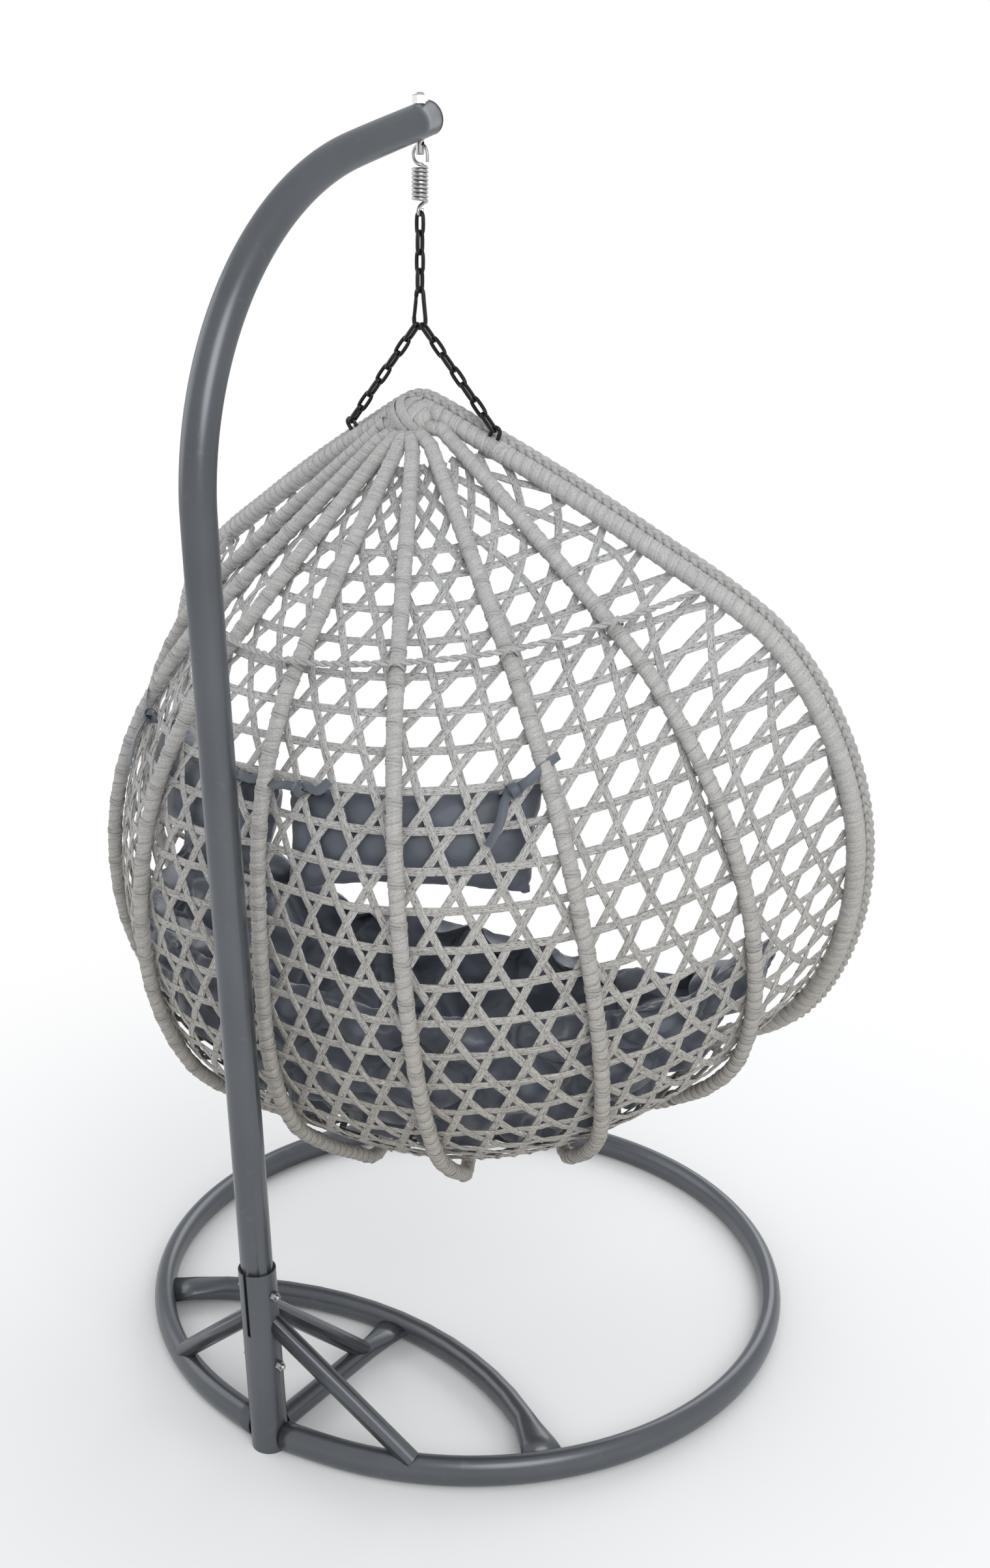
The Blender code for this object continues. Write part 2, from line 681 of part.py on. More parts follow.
def least_gap(path, wire):
    """The least space between stretches of the wire that aren't neighbours along it."""
    fine = []
    for a, b in zip(path, path[1:]):
        fine += [a.lerp(b, t / 4) for t in range(4)]
    lengths = [0.0]
    for a, b in zip(fine, fine[1:]):
        lengths.append(lengths[-1] + (b - a).length)
    best = 1.0
    for i, a in enumerate(fine):
        for j in range(i + 1, len(fine)):
            if lengths[j] - lengths[i] > 3.0 * wire:
                best = min(best, (fine[j] - a).length - wire)
    return best


def make_spring():
    """The extension spring that cushions the seat."""
    path = spring_path()
    print("spring: least gap to itself %.2f mm" % (least_gap(path, SPRING_WIRE) * 1000))
    curve = bpy.data.curves.new("coil_spring", "CURVE")
    curve.dimensions = "3D"
    curve.bevel_depth = SPRING_WIRE / 2
    curve.bevel_resolution = 1
    curve.use_fill_caps = True
    spline = curve.splines.new("POLY")
    spline.points.add(len(path) - 1)
    for point, place in zip(spline.points, path):
        point.co = (*place, 1.0)
    curve.materials.append(zinc("coil_spring"))
    piece = bpy.data.objects.new("coil_spring", curve)
    bpy.context.collection.objects.link(piece)
    return piece


def link_path(top, bottom, across):
    """A long link's centre line: two straight sides and two half circles."""
    along = (bottom - top).normalized()
    radius = (LINK_WIDE - CHAIN_WIRE) / 2
    upper = top + along * radius
    lower = bottom - along * radius
    points = []
    for centre, first in ((upper, math.pi), (lower, 0.0)):
        for k in range(5):
            a = first + math.pi * k / 4
            points.append(centre + across * (radius * math.cos(a)) + along * (radius * math.sin(a)))
    return points


def make_chain(stem, start, end, count, wires, flat):
    """Links from one bar to another; flat is across the second, fourth and later links."""
    along = (end - start).normalized()
    first = (wires[0] + CHAIN_WIRE) / 2 + GAP
    last = (wires[1] + CHAIN_WIRE) / 2 + GAP
    nest = CHAIN_WIRE + GAP
    length = ((end - start).length + first + last + (count - 1) * nest) / count
    normal = along.cross(flat).normalized()
    links = []
    top = start - along * first
    for k in range(count):
        across = normal if k % 2 == 0 else flat
        face = along.cross(across)
        path = link_path(top, top + along * length, across)
        links.append(rod("%s_%d" % (stem, k + 1), path, CHAIN_WIRE, 6, face, black_chain, closed=True))
        top = top + along * (length - nest)
    return links


def snap_shape():
    """The snap hook's body, from the gate's pivot round the wide foot and over the narrow top."""
    foot = (SNAP_FOOT_WIDE - SNAP_WIRE) / 2
    head = (SNAP_TOP_WIDE - SNAP_WIRE) / 2
    tall = SNAP_TALL - SNAP_WIRE
    return [Vector(p) for p in (
        (foot, 0, 0.0150), (foot, 0, 0.0090), (foot * 0.76, 0, 0.0024), (0, 0, 0), (-foot * 0.76, 0, 0.0024),
        (-foot, 0, 0.0090), (-foot * 0.93, 0, 0.0190), (-head * 1.12, 0, tall - 0.0150),
        (-head, 0, tall - 0.0070), (-head * 0.70, 0, tall - 0.0018), (0, 0, tall),
        (head * 0.70, 0, tall - 0.0018), (head, 0, tall - 0.0070), (head * 1.06, 0, tall - 0.0110))]


def make_snap_hook(top):
    """The pear-shaped snap hook that joins the top chain to the two side chains, and its gate."""
    foot = top - Vector((0, 0, SNAP_TALL - SNAP_WIRE))
    shape = snap_shape()
    front = Vector((0, -1, 0))
    path = [foot + p for p in curve_points(shape, 2)]
    body = rod("snap_hook_body", path, SNAP_WIRE, 8, front, black_chain)
    slack = (shape[-1] - shape[0]).normalized() * (2 * GAP)
    low = foot + shape[0] + slack
    high = foot + shape[-1] - slack
    gate = rod("snap_hook_gate", [low, low.lerp(high, 0.5), high], SNAP_WIRE * 0.84, 8, front, black_chain)
    return body, gate, foot


def profile_at(profile, share):
    """A point (distance, height) on a smooth curve through a profile's points."""
    last = len(profile) - 1
    place = min(max(share, 0.0), 1.0) * last
    k = min(int(place), last - 1)
    t = place - k
    p0, p1, p2, p3 = (profile[max(k - 1, 0)], profile[k], profile[k + 1], profile[min(k + 2, last)])
    return [0.5 * (2 * p1[i] + (p2[i] - p0[i]) * t + (2 * p0[i] - 5 * p1[i] + 4 * p2[i] - p3[i]) * t * t
                   + (3 * p1[i] - p0[i] - 3 * p2[i] + p3[i]) * t ** 3) for i in (0, 1)]


def basket_place(distance, turn, height):
    """A point from its distance to the basket's leaning axis, its turn and its height."""
    y = HANG_Y + BASKET_SHIFT + distance * math.cos(turn) + BASKET_LEAN * (height - BASKET_LEAN_Z)
    return Vector((distance * math.sin(turn), y, height))


def frame_reach(share, turn):
    """Distance of the frame surface from the basket's leaning axis."""
    back = profile_at(BACK_PROFILE, share)[0]
    return back + (profile_at(RIM_PROFILE, share)[0] - back) * (abs(turn) / RIM_TURN) ** SHOULDER_POWER


def frame_point(share, turn):
    """The basket's frame surface, through the middle of ribs and rim."""
    round_share = abs(turn) / RIM_TURN
    shoulder = round_share ** SHOULDER_POWER
    hem = round_share ** HEM_POWER
    back = profile_at(BACK_PROFILE, share)
    rim = profile_at(RIM_PROFILE, share)
    distance = back[0] + (rim[0] - back[0]) * shoulder
    height = back[1] + (rim[1] - back[1]) * hem
    press = math.exp(-((height - SPINE_MID_Z) / SPINE_REACH_Z) ** 2 - (turn / SPINE_REACH_TURN) ** 2)
    return basket_place(distance - SPINE_SET_IN * press, turn, height)


def inward(share, turn):
    """Unit direction from the frame surface into the basket."""
    step = 0.004
    share = min(max(share, step), 1.0 - step)
    down = frame_point(share + step, turn) - frame_point(share - step, turn)
    round_way = frame_point(share, turn + step) - frame_point(share, turn - step)
    normal = down.cross(round_way).normalized()
    middle = basket_place(0.0, turn, frame_point(share, turn).z + 0.05)
    if normal.dot(middle - frame_point(share, turn)) < 0:
        normal = -normal
    return normal


def share_at(turn, test):
    """The profile share where a falling test of the frame point passes zero."""
    low, high = 0.0, 1.0
    for _ in range(30):
        middle = (low + high) / 2
        if test(frame_point(middle, turn)) > 0:
            low = middle
        else:
            high = middle
    return (low + high) / 2


def rim_path(steps):
    """The opening's edge: from the peak down one side, across the lip and up the other side."""
    side = [frame_point(k / steps, RIM_TURN) for k in range(steps + 1)]
    lip = [Vector((x, HANG_Y + BASKET_SHIFT + y, z)) for x, y, z in RIM_LIP]
    mirrored = [Vector((-p.x, p.y, p.z)) for p in reversed(lip[:-1])]
    other = [Vector((-p.x, p.y, p.z)) for p in reversed(side)]
    bottom = curve_points([side[-2], side[-1], *lip, *mirrored, other[0], other[1]], 3)[3:-3]
    peak = Vector((0.0, side[0].y, side[0].z + 0.0055))
    return [peak] + side[:-1] + bottom + other[1:]


def rim_plane():
    """Unit direction across the rim, pointing to the front of the basket."""
    lean = Vector((0.0, BASKET_LEAN, 1.0))
    return Vector((1.0, 0.0, 0.0)).cross(lean).normalized() * 1.0


def outward_in_plane(path, k):
    """Unit direction from a closed path outwards, in the rim's plane."""
    along = (path[(k + 1) % len(path)] - path[k - 1]).normalized()
    out = along.cross(rim_plane()).normalized()
    middle = Vector((0.0, path[k].y, 1.0))
    return out if out.dot(path[k] - middle) > 0 else -out


def make_rim():
    return rod("basket_rim", rim_path(RIM_STEPS), RIM_D, 8, rim_plane(), grey_strand, closed=True)


def make_braid():
    """The plaited edging laid along the outside of the rim, towards the front."""
    rim = rim_path(RIM_STEPS - 6)
    reach = (RIM_D + BRAID_D) / 2 * 1.03 + GAP
    path = []
    for k, point in enumerate(rim):
        out = outward_in_plane(rim, k)
        path.append(point + (out * math.cos(BRAID_TURN) + rim_plane() * math.sin(BRAID_TURN)) * reach)
    return rod("rim_braid", path, BRAID_D, 6, rim_plane(), grey_strand, closed=True)


def rib_path(turn):
    """One rib from the peak down the back and round its hook under the seat."""
    path = [frame_point(k / PROFILE_STEPS, turn) for k in range(PROFILE_STEPS + 1)]
    low = path[-1]
    hook = [low + Vector((math.sin(turn), math.cos(turn), 0.0)) * d + Vector((0.0, 0.0, z)) for d, z in RIB_HOOK]
    return path[:-1] + curve_points([path[-1], *hook], 2)


def make_rib(index, turn, guides):
    across = Vector((math.sin(turn), math.cos(turn), 0.0)).cross(Vector((0.0, BASKET_LEAN, 1.0))).normalized()
    rib = rod("rib_%d" % index, rib_path(turn), RIB_D, 6, across, grey_strand)
    for guide in guides:
        cut(rib, guide)
    return rib


def binding_centre():
    top = frame_point(0.0, 0.0)
    peak = frame_point(0.0, RIM_TURN)
    return Vector((0.0, (top.y + peak.y) / 2 - 0.004, (top.z + peak.z) / 2 - 0.002))


def peak_body(name, grow):
    """An egg shape at the peak, where rim and ribs are bound together."""
    centre = binding_centre()
    rings = []
    for k in range(1, 7):
        a = math.pi * k / 7
        ring = []
        for i in range(16):
            b = math.tau * i / 16
            ring.append(centre + Vector(((BINDING_SIZE[0] + grow) * math.sin(a) * math.cos(b),
                                         (BINDING_SIZE[1] + grow) * math.sin(a) * math.sin(b),
                                         (BINDING_SIZE[2] + grow) * math.cos(a))))
        rings.append(ring)
    up = Vector((0.0, 0.0, BINDING_SIZE[2] + grow))
    return pole_skin(name, centre + up, rings, centre - up, grey_strand)


def make_belt(rim_guide):
    """The thin wrapped wire tied round the outside of the ribs, from rim to rim."""
    out = (RIB_D + BELT_D) / 2 + GAP
    corners = []
    for k in range(-RIB_COUNT // 2, RIB_COUNT // 2 + 2):
        level = min(abs(k), len(BELT_HEIGHTS) - 1)
        turn = max(-RIM_TURN, min(RIM_TURN, k * RIB_TURN))
        share = share_at(turn, lambda p, z=BELT_HEIGHTS[level]: p.z - z)
        proud = out if level < len(BELT_HEIGHTS) - 1 else 0.0
        corners.append(frame_point(share, turn) - inward(share, turn) * proud)
    path = curve_points(corners, 4)
    belt = rod("belt_wire", path, BELT_D, 6, Vector((0, 0, 1)), grey_strand)
    return cut(belt, rim_guide)


def weave_point(share, turn, deep):
    """A point of the weave, which is drawn round the ribs on their inner side."""
    drop = ease((share - 0.70) / 0.30) * WEAVE_LIFT
    return frame_point(share, turn) + inward(share, turn) * (RIB_D / 2 + 2 * GAP + drop + deep)


def panel(name, first, last, cols):
    """One stretch of the woven wall between two turns."""
    edge = 1.5 * GAP
    grids = []
    for deep in (0.0, WEAVE_THICK):
        grid = []
        for r in range(1, PROFILE_STEPS + 1):
            share = r / PROFILE_STEPS
            start = first + (edge if first > -RIM_TURN else WEAVE_TO_RIM) / frame_reach(share, first)
            end = last - (edge if last < RIM_TURN else WEAVE_TO_RIM) / frame_reach(share, last)
            grid.append([weave_point(share, start + (end - start) * c / cols, deep) for c in range(cols + 1)])
        grids.append(grid)
    return slab(name, grids[0], grids[1], grey_strand)


def floor_grid(deep, shrink=1.0):
    """The basket's woven floor, from the foot of the wall to the lip; deep is up from its underside."""
    cols = 12
    rows = 6
    lip_y = HANG_Y + BASKET_SHIFT + RIM_LIP[-1][1] + RIM_D / 2 + 2 * GAP
    grid = []
    for c in range(cols + 1):
        turn = FLOOR_TURN * (2 * c / cols - 1)
        foot = weave_point(1.0, turn, 0.0)
        foot += Vector((-math.sin(turn), -math.cos(turn), 0.0)) * (3 * GAP)
        across = foot.x * 0.93
        lift = (across / 0.40) ** 2
        front = Vector((across, lip_y + 0.022 * lift, RIM_LIP[-1][2] + 0.055 * lift))
        column = []
        lean = inward(1.0, turn)
        for r in range(rows + 1):
            t = r / rows
            place = foot.lerp(front, t)
            place.z -= FLOOR_DIP * 4 * t * (1 - t)
            upright = min(1.0, 3.0 * t)
            place += (lean * (1.0 - upright) + Vector((0.0, 0.0, upright))) * deep
            middle = Vector((0.0, HANG_Y - 0.02, place.z))
            column.append(middle + (place - middle) * shrink)
        grid.append(column)
    return grid


def make_floor():
    return slab("weave_floor", floor_grid(0.0), floor_grid(WEAVE_THICK), grey_strand)


def front_limit(x, height):
    """How far forward the seat cushion may reach behind the rim and its lip."""
    plane = HANG_Y + BASKET_SHIFT + BASKET_LEAN * (height - BASKET_LEAN_Z) - 0.034
    bow = 0.018 * max(0.0, 1.0 - (x / 0.34) ** 2)
    return plane - bow + RIM_D / 2 + CUSHION_CLEAR


def cushion_ring(level, turn_count, lift, inset):
    """One ring of the seat cushion: level 0 is the upper edge and 1 the foot of the wall."""
    ring = []
    for i in range(turn_count):
        a = math.tau * i / turn_count
        turn = a if a <= math.pi else a - math.tau
        side = math.copysign(min(abs(turn), math.radians(88.0)), turn)
        facing = max(0.0, -math.cos(turn))
        edge_z = CUSHION_EDGE_Z + (CUSHION_FRONT_Z - CUSHION_EDGE_Z) * ease(facing * 1.4)
        share = share_at(side, lambda p: p.z - edge_z)
        share = share + (1.0 - share) * level
        wall = weave_point(share, side, WEAVE_THICK + CUSHION_CLEAR + inset)
        place = Vector(wall)
        if abs(turn) > math.radians(90.0):
            place.x = abs(wall.x) * math.sin(turn)
            depth = max(wall.y - front_limit(place.x, place.z) - inset, 0.0)
            place.y = wall.y - depth * facing ** 0.5
        place.z += lift
        ring.append(place)
    return ring


def make_cushion(floor_top):
    """The seat cushion: one thick tufted bowl of cloth that fills the foot of the basket."""
    count = 42
    under = [cushion_ring(level, count, 0.0, 0.0) for level in (0.06, 0.35, 0.70, 0.97)]
    sole = []
    foot = under[-1]
    middle = Vector((0.0, HANG_Y - 0.03, 0.0))
    for shrink in (0.80, 0.55, 0.30):
        ring = []
        for point in foot:
            spot = Vector((point.x * shrink, middle.y + (point.y - middle.y) * shrink, 0.0))
            spot.z = floor_top(spot.x, spot.y) + SOLE_CLEAR
            ring.append(spot)
        sole.append(ring)
    seat_z = 0.385 + CUSHION_THICK
    back = CUSHION_BACK_THICK
    crown = [cushion_ring(0.0, count, 0.016, back * 0.35), cushion_ring(0.02, count, 0.014, back * 0.78),
             cushion_ring(0.28, count, 0.006, back), cushion_ring(0.58, count, 0.012, CUSHION_THICK * 0.9)]
    inner = crown[-1]
    seat = []
    for shrink in (0.84, 0.64, 0.44, 0.22):
        ring = []
        for point in inner:
            level = seat_z + (point.z - seat_z) * shrink ** 3
            ring.append(Vector((point.x * shrink, middle.y + (point.y - middle.y) * shrink, level)))
        seat.append(ring)
    top = Vector((0.0, middle.y, seat_z + 0.004))
    tops = crown + seat
    for k, step, first in ((2, 4, 0), (4, 4, 2), (6, 8, 0)):
        for i in range(first, count, step):
            tops[k][i] = tops[k][i] - Vector((0.0, 0.0, TUFT_DEEP * 0.55))
            pull = (top - tops[k][i]).normalized()
            tops[k][i] = tops[k][i] - pull * (TUFT_DEEP * 0.35)
    bottom = Vector((0.0, middle.y, floor_top(0.0, middle.y) + SOLE_CLEAR))
    rings = list(reversed(sole)) + list(reversed(under)) + tops
    return pole_skin("seat_cushion", bottom, rings, top, slate_cloth)


def surface_of(piece):
    """A piece's faces, for measuring against."""
    mesh = piece.data
    return BVHTree.FromPolygons([v.co for v in mesh.vertices], [f.vertices for f in mesh.polygons])


def make_pillow(name, side, wall):
    """A head pillow: crowned faces, sides drawn in between the corners, leaning on the woven wall."""
    turn = side * PILLOW_TURN
    share = share_at(turn, lambda p: p.z - PILLOW_Z)
    inner = inward(share, turn)
    along = Vector((math.cos(turn), -math.sin(turn), 0.0))
    along = (along - inner * along.dot(inner)).normalized()
    up = along.cross(inner)
    if up.z < 0:
        up = -up
    width, thick, tall = PILLOW_SIZE
    centre = weave_point(share, turn, WEAVE_THICK + 0.10)
    cols = 12
    rows = 6
    faces = []
    for sign in (-1, 1):
        grid = []
        for r in range(rows + 1):
            v = -1 + 2 * r / rows
            line = []
            for c in range(cols + 1):
                u = -1 + 2 * c / cols
                pull_x = 1 - 0.055 * (1 - v * v)
                pull_z = 1 - 0.080 * (1 - u * u)
                puff = ((1 - abs(u) ** 2.6) * (1 - abs(v) ** 2.2)) ** 0.5
                half = 0.0025 + (thick / 2 - 0.0025) * puff
                line.append(centre + along * (u * pull_x * width / 2) + up * (v * pull_z * tall / 2)
                            + inner * (sign * half + PILLOW_BEND * u * u))
            grid.append(line)
        faces.append(grid)
    # it is pushed back to the wall, then drawn off in small steps until it is just clear
    pillow = slab(name, faces[0], faces[1], slate_cloth)
    surface = surface_of(wall)
    hits = [surface.ray_cast(point.co, -inner)[3] for point in pillow.data.vertices]
    pillow.data.transform(Matrix.Translation(-inner * min(d for d in hits if d is not None)))
    while surface_of(pillow).overlap(surface):
        pillow.data.transform(Matrix.Translation(inner * GAP))
    pillow.data.transform(Matrix.Translation(inner * GAP))
    return pillow


def make_staple(name, side, snap_foot):
    """The wire loop on the rim that takes a side chain."""
    share = share_at(RIM_TURN, lambda p: ANCHOR_X - p.x)
    at = frame_point(share, RIM_TURN)
    along = (frame_point(share + 0.01, RIM_TURN) - frame_point(share - 0.01, RIM_TURN)).normalized()
    out = along.cross(rim_plane()).normalized()
    if out.z < 0:
        out = -out
    if side < 0:
        at, along, out = (Vector((-v.x, v.y, v.z)) for v in (at, along, out))
    face = along.cross(out)
    radius = (STAPLE_WIDE - STAPLE_WIRE) / 2
    foot = RIM_D / 2 + 2 * GAP
    crown = foot + STAPLE_TALL - STAPLE_WIRE / 2
    bend = at + out * (crown - radius)
    points = [at + along * radius + out * foot]
    for k in range(9):
        a = math.pi * k / 8
        points.append(bend + along * (radius * math.cos(a)) + out * (radius * math.sin(a)))
    points.append(at - along * radius + out * foot)
    staple = rod(name, points, STAPLE_WIRE, 8, face, black_chain)
    # the chain pulls across the bend, straight towards the snap hook
    pull = snap_foot - bend
    pull = (pull - face * pull.dot(face)).normalized()
    return staple, bend + pull * radius


def empty_at(name, place, parent=None):
    """A joint's pivot; pieces that move with it are its children."""
    pivot = bpy.data.objects.new(name, None)
    bpy.context.collection.objects.link(pivot)
    pivot.location = place
    if parent:
        pivot.parent = parent[0]
        pivot.matrix_parent_inverse = Matrix.Translation(-parent[1])
    return pivot, Vector(place)


def carry(pivot, pieces):
    """Parents finished pieces to a pivot without moving them."""
    for piece in pieces:
        piece.parent = pivot[0]
        piece.matrix_parent_inverse = Matrix.Translation(-pivot[1])


def build():
    """The whole chair."""
    for old in list(bpy.data.objects):
        bpy.data.objects.remove(old, do_unlink=True)

    # stand
    reach = mast_path()[1]
    stand = [make_ring(), make_arc_brace(), make_strut(), make_socket(), make_mast(), make_arm_cap()]
    for side, name in ((-1, "brace_left"), (1, "brace_right")):
        foot_y = math.sqrt(RING_RADIUS ** 2 - BRACE_FOOT_X ** 2)
        foot = Vector((side * BRACE_FOOT_X, foot_y, RING_TALL - BRACE_D * 0.30))
        guide = ring_guide("guide_ring_" + name, GAP)
        stand.append(make_brace(name, mast_axis(BRACE_TOP_Z), foot, guide))
    strut_path = [Vector((0, MAST_FOOT_Y, RING_TALL / 2)), Vector((0, ARC_MID_Y, RING_TALL / 2))]
    strut_rings = swept_rings(strut_path, oval_section(STRUT_WIDE + 2 * GAP, STRUT_TALL + 2 * GAP, 12),
                              Vector((0, 0, 1)))
    foot = Vector((0, CENTRE_BRACE_FOOT_Y, RING_TALL / 2))
    stand.append(make_brace("brace_centre", mast_axis(CENTRE_BRACE_TOP_Z), foot,
                            skin("guide_strut", strut_rings, powder_coat)))
    for index, height in zip(("upper", "lower"), BOLT_HEIGHTS):
        stand += make_socket_bolt(index, height)
    stand += [make_eye_bolt(), make_hanger_nut()]

    # hanger
    spring = make_spring()
    hook = Vector((0, HANG_Y, hook_bottom_z()))
    snap_top = Vector((0, HANG_Y, snap_top_z()))
    link_long = LINK_LONG - CHAIN_WIRE
    top_links = make_chain("top_link", hook, snap_top, TOP_LINKS, (SPRING_WIRE, SNAP_WIRE), Vector((0, 1, 0)))
    snap_body, snap_gate, snap_foot = make_snap_hook(snap_top)
    staple_right, hold_right = make_staple("anchor_staple_right", 1, snap_foot)
    staple_left, hold_left = make_staple("anchor_staple_left", -1, snap_foot)
    rest = 0.0022
    side_links = []
    for side, name, hold in ((1, "right", hold_right), (-1, "left", hold_left)):
        start = snap_foot + Vector((side * SNAP_CHAIN_X, 0, rest))
        flat = Vector((0, 1, 0)).cross(hold - start).normalized()
        wires = (SNAP_WIRE, STAPLE_WIRE + GAP)
        side_links += make_chain("side_link_" + name, start, hold, SIDE_LINKS, wires, flat)

    # basket
    rim = make_rim()
    rim_big = rod("guide_rim", rim_path(RIM_STEPS), RIM_D + 4 * GAP, 8, rim_plane(), grey_strand, closed=True)
    binding = cut(peak_body("peak_binding", 0.0), rim_big)
    peak_big = peak_body("guide_peak", 2 * GAP)
    floor_big = slab("guide_floor", floor_grid(-2 * GAP, 1.006), floor_grid(0.06, 1.006), grey_strand)
    ribs = []
    half = RIB_COUNT // 2
    for k in range(RIB_COUNT):
        guides = (peak_big, floor_big, rim_big) if abs(k - half) == half else (peak_big, floor_big)
        ribs.append(make_rib(k + 1, (k - half) * RIB_TURN, guides))
    belt = make_belt(rim_big)
    braid = make_braid()
    walls = []
    names = ("weave_left_front", "weave_left_back", "weave_right_back", "weave_right_front")
    turns = (-RIM_TURN, -2 * RIB_TURN, 0.0, 2 * RIB_TURN, RIM_TURN)
    for name, first, last in zip(names, turns, turns[1:]):
        wall = panel(name, first, last, 6)
        cut(wall, rim_big)
        walls.append(cut(wall, peak_big))
    floor = cut(make_floor(), rim_big)
    top_grid = floor_grid(WEAVE_THICK)

    def floor_top(x, y):
        flat = [p for column in top_grid for p in column]
        near = sorted(flat, key=lambda p: (p.x - x) ** 2 + (p.y - y) ** 2)[:4]
        weights = [1.0 / (math.hypot(p.x - x, p.y - y) + 1e-4) for p in near]
        return sum(p.z * w for p, w in zip(near, weights)) / sum(weights)

    cushion = make_cushion(floor_top)
    pillows = [make_pillow("head_pillow_right", 1, walls[2]), make_pillow("head_pillow_left", -1, walls[1])]

    # joints' pivots, from the arm down
    eye = empty_at("pivot_fore_aft", Vector((0, HANG_Y, hook_top_z())))
    carry(eye, [spring])
    stretch = empty_at("pivot_stretch", Vector((0, HANG_Y, hook_bottom_z())), eye)
    carry(stretch, top_links[:1])
    second = hook_bottom_z() + (SPRING_WIRE + CHAIN_WIRE) / 2 + GAP - link_long + CHAIN_WIRE + GAP
    sway = empty_at("pivot_side", Vector((0, HANG_Y, second)), stretch)
    carry(sway, top_links[1:])
    swivel = empty_at("pivot_swivel", snap_top, sway)
    carry(swivel, [snap_body, *side_links])
    gate = empty_at("pivot_gate", snap_foot + snap_shape()[0], swivel)
    carry(gate, [snap_gate])
    tilt = empty_at("pivot_tilt", Vector((0, hold_right.y, hold_right.z)), swivel)
    carry(tilt, [staple_right, staple_left, rim, binding, belt, braid, floor, cushion, *ribs, *walls, *pillows])

    # centre the plan box on the origin
    front = -(RING_RADIUS + RING_WIDE / 2)
    shift = Matrix.Translation((0.0, -(front + reach) / 2 + RING_Y, 0.0))
    for piece in bpy.data.objects:
        if piece.parent is None:
            piece.matrix_world = shift @ piece.matrix_basis
    for name, pivot in (("fore_aft", eye), ("side", sway), ("swivel", swivel), ("gate", gate), ("tilt", tilt)):
        print("pivot %s %.4f %.4f %.4f" % (name, *(shift @ pivot[1])))


build()
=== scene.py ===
"""A hanging egg chair for two: woven basket, tufted cushion, spring and chains, bent mast and floor ring."""
import math

import bmesh
import bpy
import numpy as np
from mathutils import Matrix, Vector
from mathutils.bvhtree import BVHTree
from mathutils.noise import noise, seed_set


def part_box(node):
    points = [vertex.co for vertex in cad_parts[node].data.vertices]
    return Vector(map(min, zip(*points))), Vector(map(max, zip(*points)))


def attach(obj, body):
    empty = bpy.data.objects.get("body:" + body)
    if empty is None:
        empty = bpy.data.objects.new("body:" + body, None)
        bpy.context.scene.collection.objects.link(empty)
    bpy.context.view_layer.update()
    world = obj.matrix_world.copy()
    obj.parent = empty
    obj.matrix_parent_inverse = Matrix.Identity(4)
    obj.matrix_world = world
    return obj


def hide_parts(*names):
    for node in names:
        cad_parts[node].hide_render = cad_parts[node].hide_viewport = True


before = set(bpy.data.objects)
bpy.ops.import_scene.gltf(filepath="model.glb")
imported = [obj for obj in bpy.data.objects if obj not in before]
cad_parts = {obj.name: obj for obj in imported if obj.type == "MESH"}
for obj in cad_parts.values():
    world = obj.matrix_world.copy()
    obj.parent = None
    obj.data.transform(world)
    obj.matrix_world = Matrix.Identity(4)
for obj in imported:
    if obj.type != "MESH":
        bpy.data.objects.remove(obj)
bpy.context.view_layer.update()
seed_set(7)

# ----------------------------------------------------------
# Camera.  It stands behind the chair, to the mast's left, at the photograph's distance and eye height, and
# its small shift frames the chair as the photograph does.
# ----------------------------------------------------------
EYE_FROM_RING = Vector((-1.4376, 2.1289, 1.6758))
# directions of the photograph's ground axes: to its right, and into it
RIGHT = Vector((-0.8287, -0.5596, 0.0))
AWAY = Vector((0.5596, -0.8287, 0.0))
LOOK_TURN = math.radians(-0.23)
LOOK_DOWN = math.radians(15.8)
LOOK_ROLL = math.radians(0.56)
SENSOR_MM, LENS_MM = 36.0, 38.23
SHIFT_X, SHIFT_Y = 0.018, -0.0155


def new_object(name, data):
    """An object at the origin, in the scene."""
    made = bpy.data.objects.new(name, data)
    bpy.context.scene.collection.objects.link(made)
    return made


ring_low, ring_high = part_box("base_ring")
ring_centre = Vector((0.0, (ring_low.y + ring_high.y) / 2, 0.0))
ahead = (RIGHT * math.sin(LOOK_TURN) + AWAY * math.cos(LOOK_TURN)) * math.cos(LOOK_DOWN)
ahead.z = -math.sin(LOOK_DOWN)
level = RIGHT * math.cos(LOOK_TURN) - AWAY * math.sin(LOOK_TURN)
upright = level.cross(ahead)
eye_right = level * math.cos(LOOK_ROLL) + upright * math.sin(LOOK_ROLL)
eye_up = upright * math.cos(LOOK_ROLL) - level * math.sin(LOOK_ROLL)
eye_data = bpy.data.cameras.new("photo_eye")
eye_data.sensor_width, eye_data.lens = SENSOR_MM, LENS_MM
eye_data.shift_x, eye_data.shift_y = SHIFT_X, SHIFT_Y
eye = new_object("photo_eye", eye_data)
eye.matrix_world = (Matrix.Translation(ring_centre + EYE_FROM_RING)
                    @ Matrix((eye_right, eye_up, -ahead)).transposed().to_4x4())
bpy.context.scene.camera = eye

# ----------------------------------------------------------
# Studio.  A pale floor that fades into a white surround, with broad soft lamps at the upper left, at the
# right and in front.  Near the chair the floor shows its own shade, so it keeps the soft shadow.
# ----------------------------------------------------------
FLOOR_REACH = 14.0
FLOOR_SHADE = (0.93, 0.93, 0.93, 1.0)
PURE_WHITE = (1.0, 1.0, 1.0, 1.0)
WHITE_FROM, WHITE_BY = 0.55, 1.9        # distances from the middle over which the floor turns white
SKY_COLOUR, SKY_STRENGTH = (0.95, 0.97, 1.0, 1.0), 0.74
LAMPS_AIM = Vector((0.0, 0.1, 0.9))
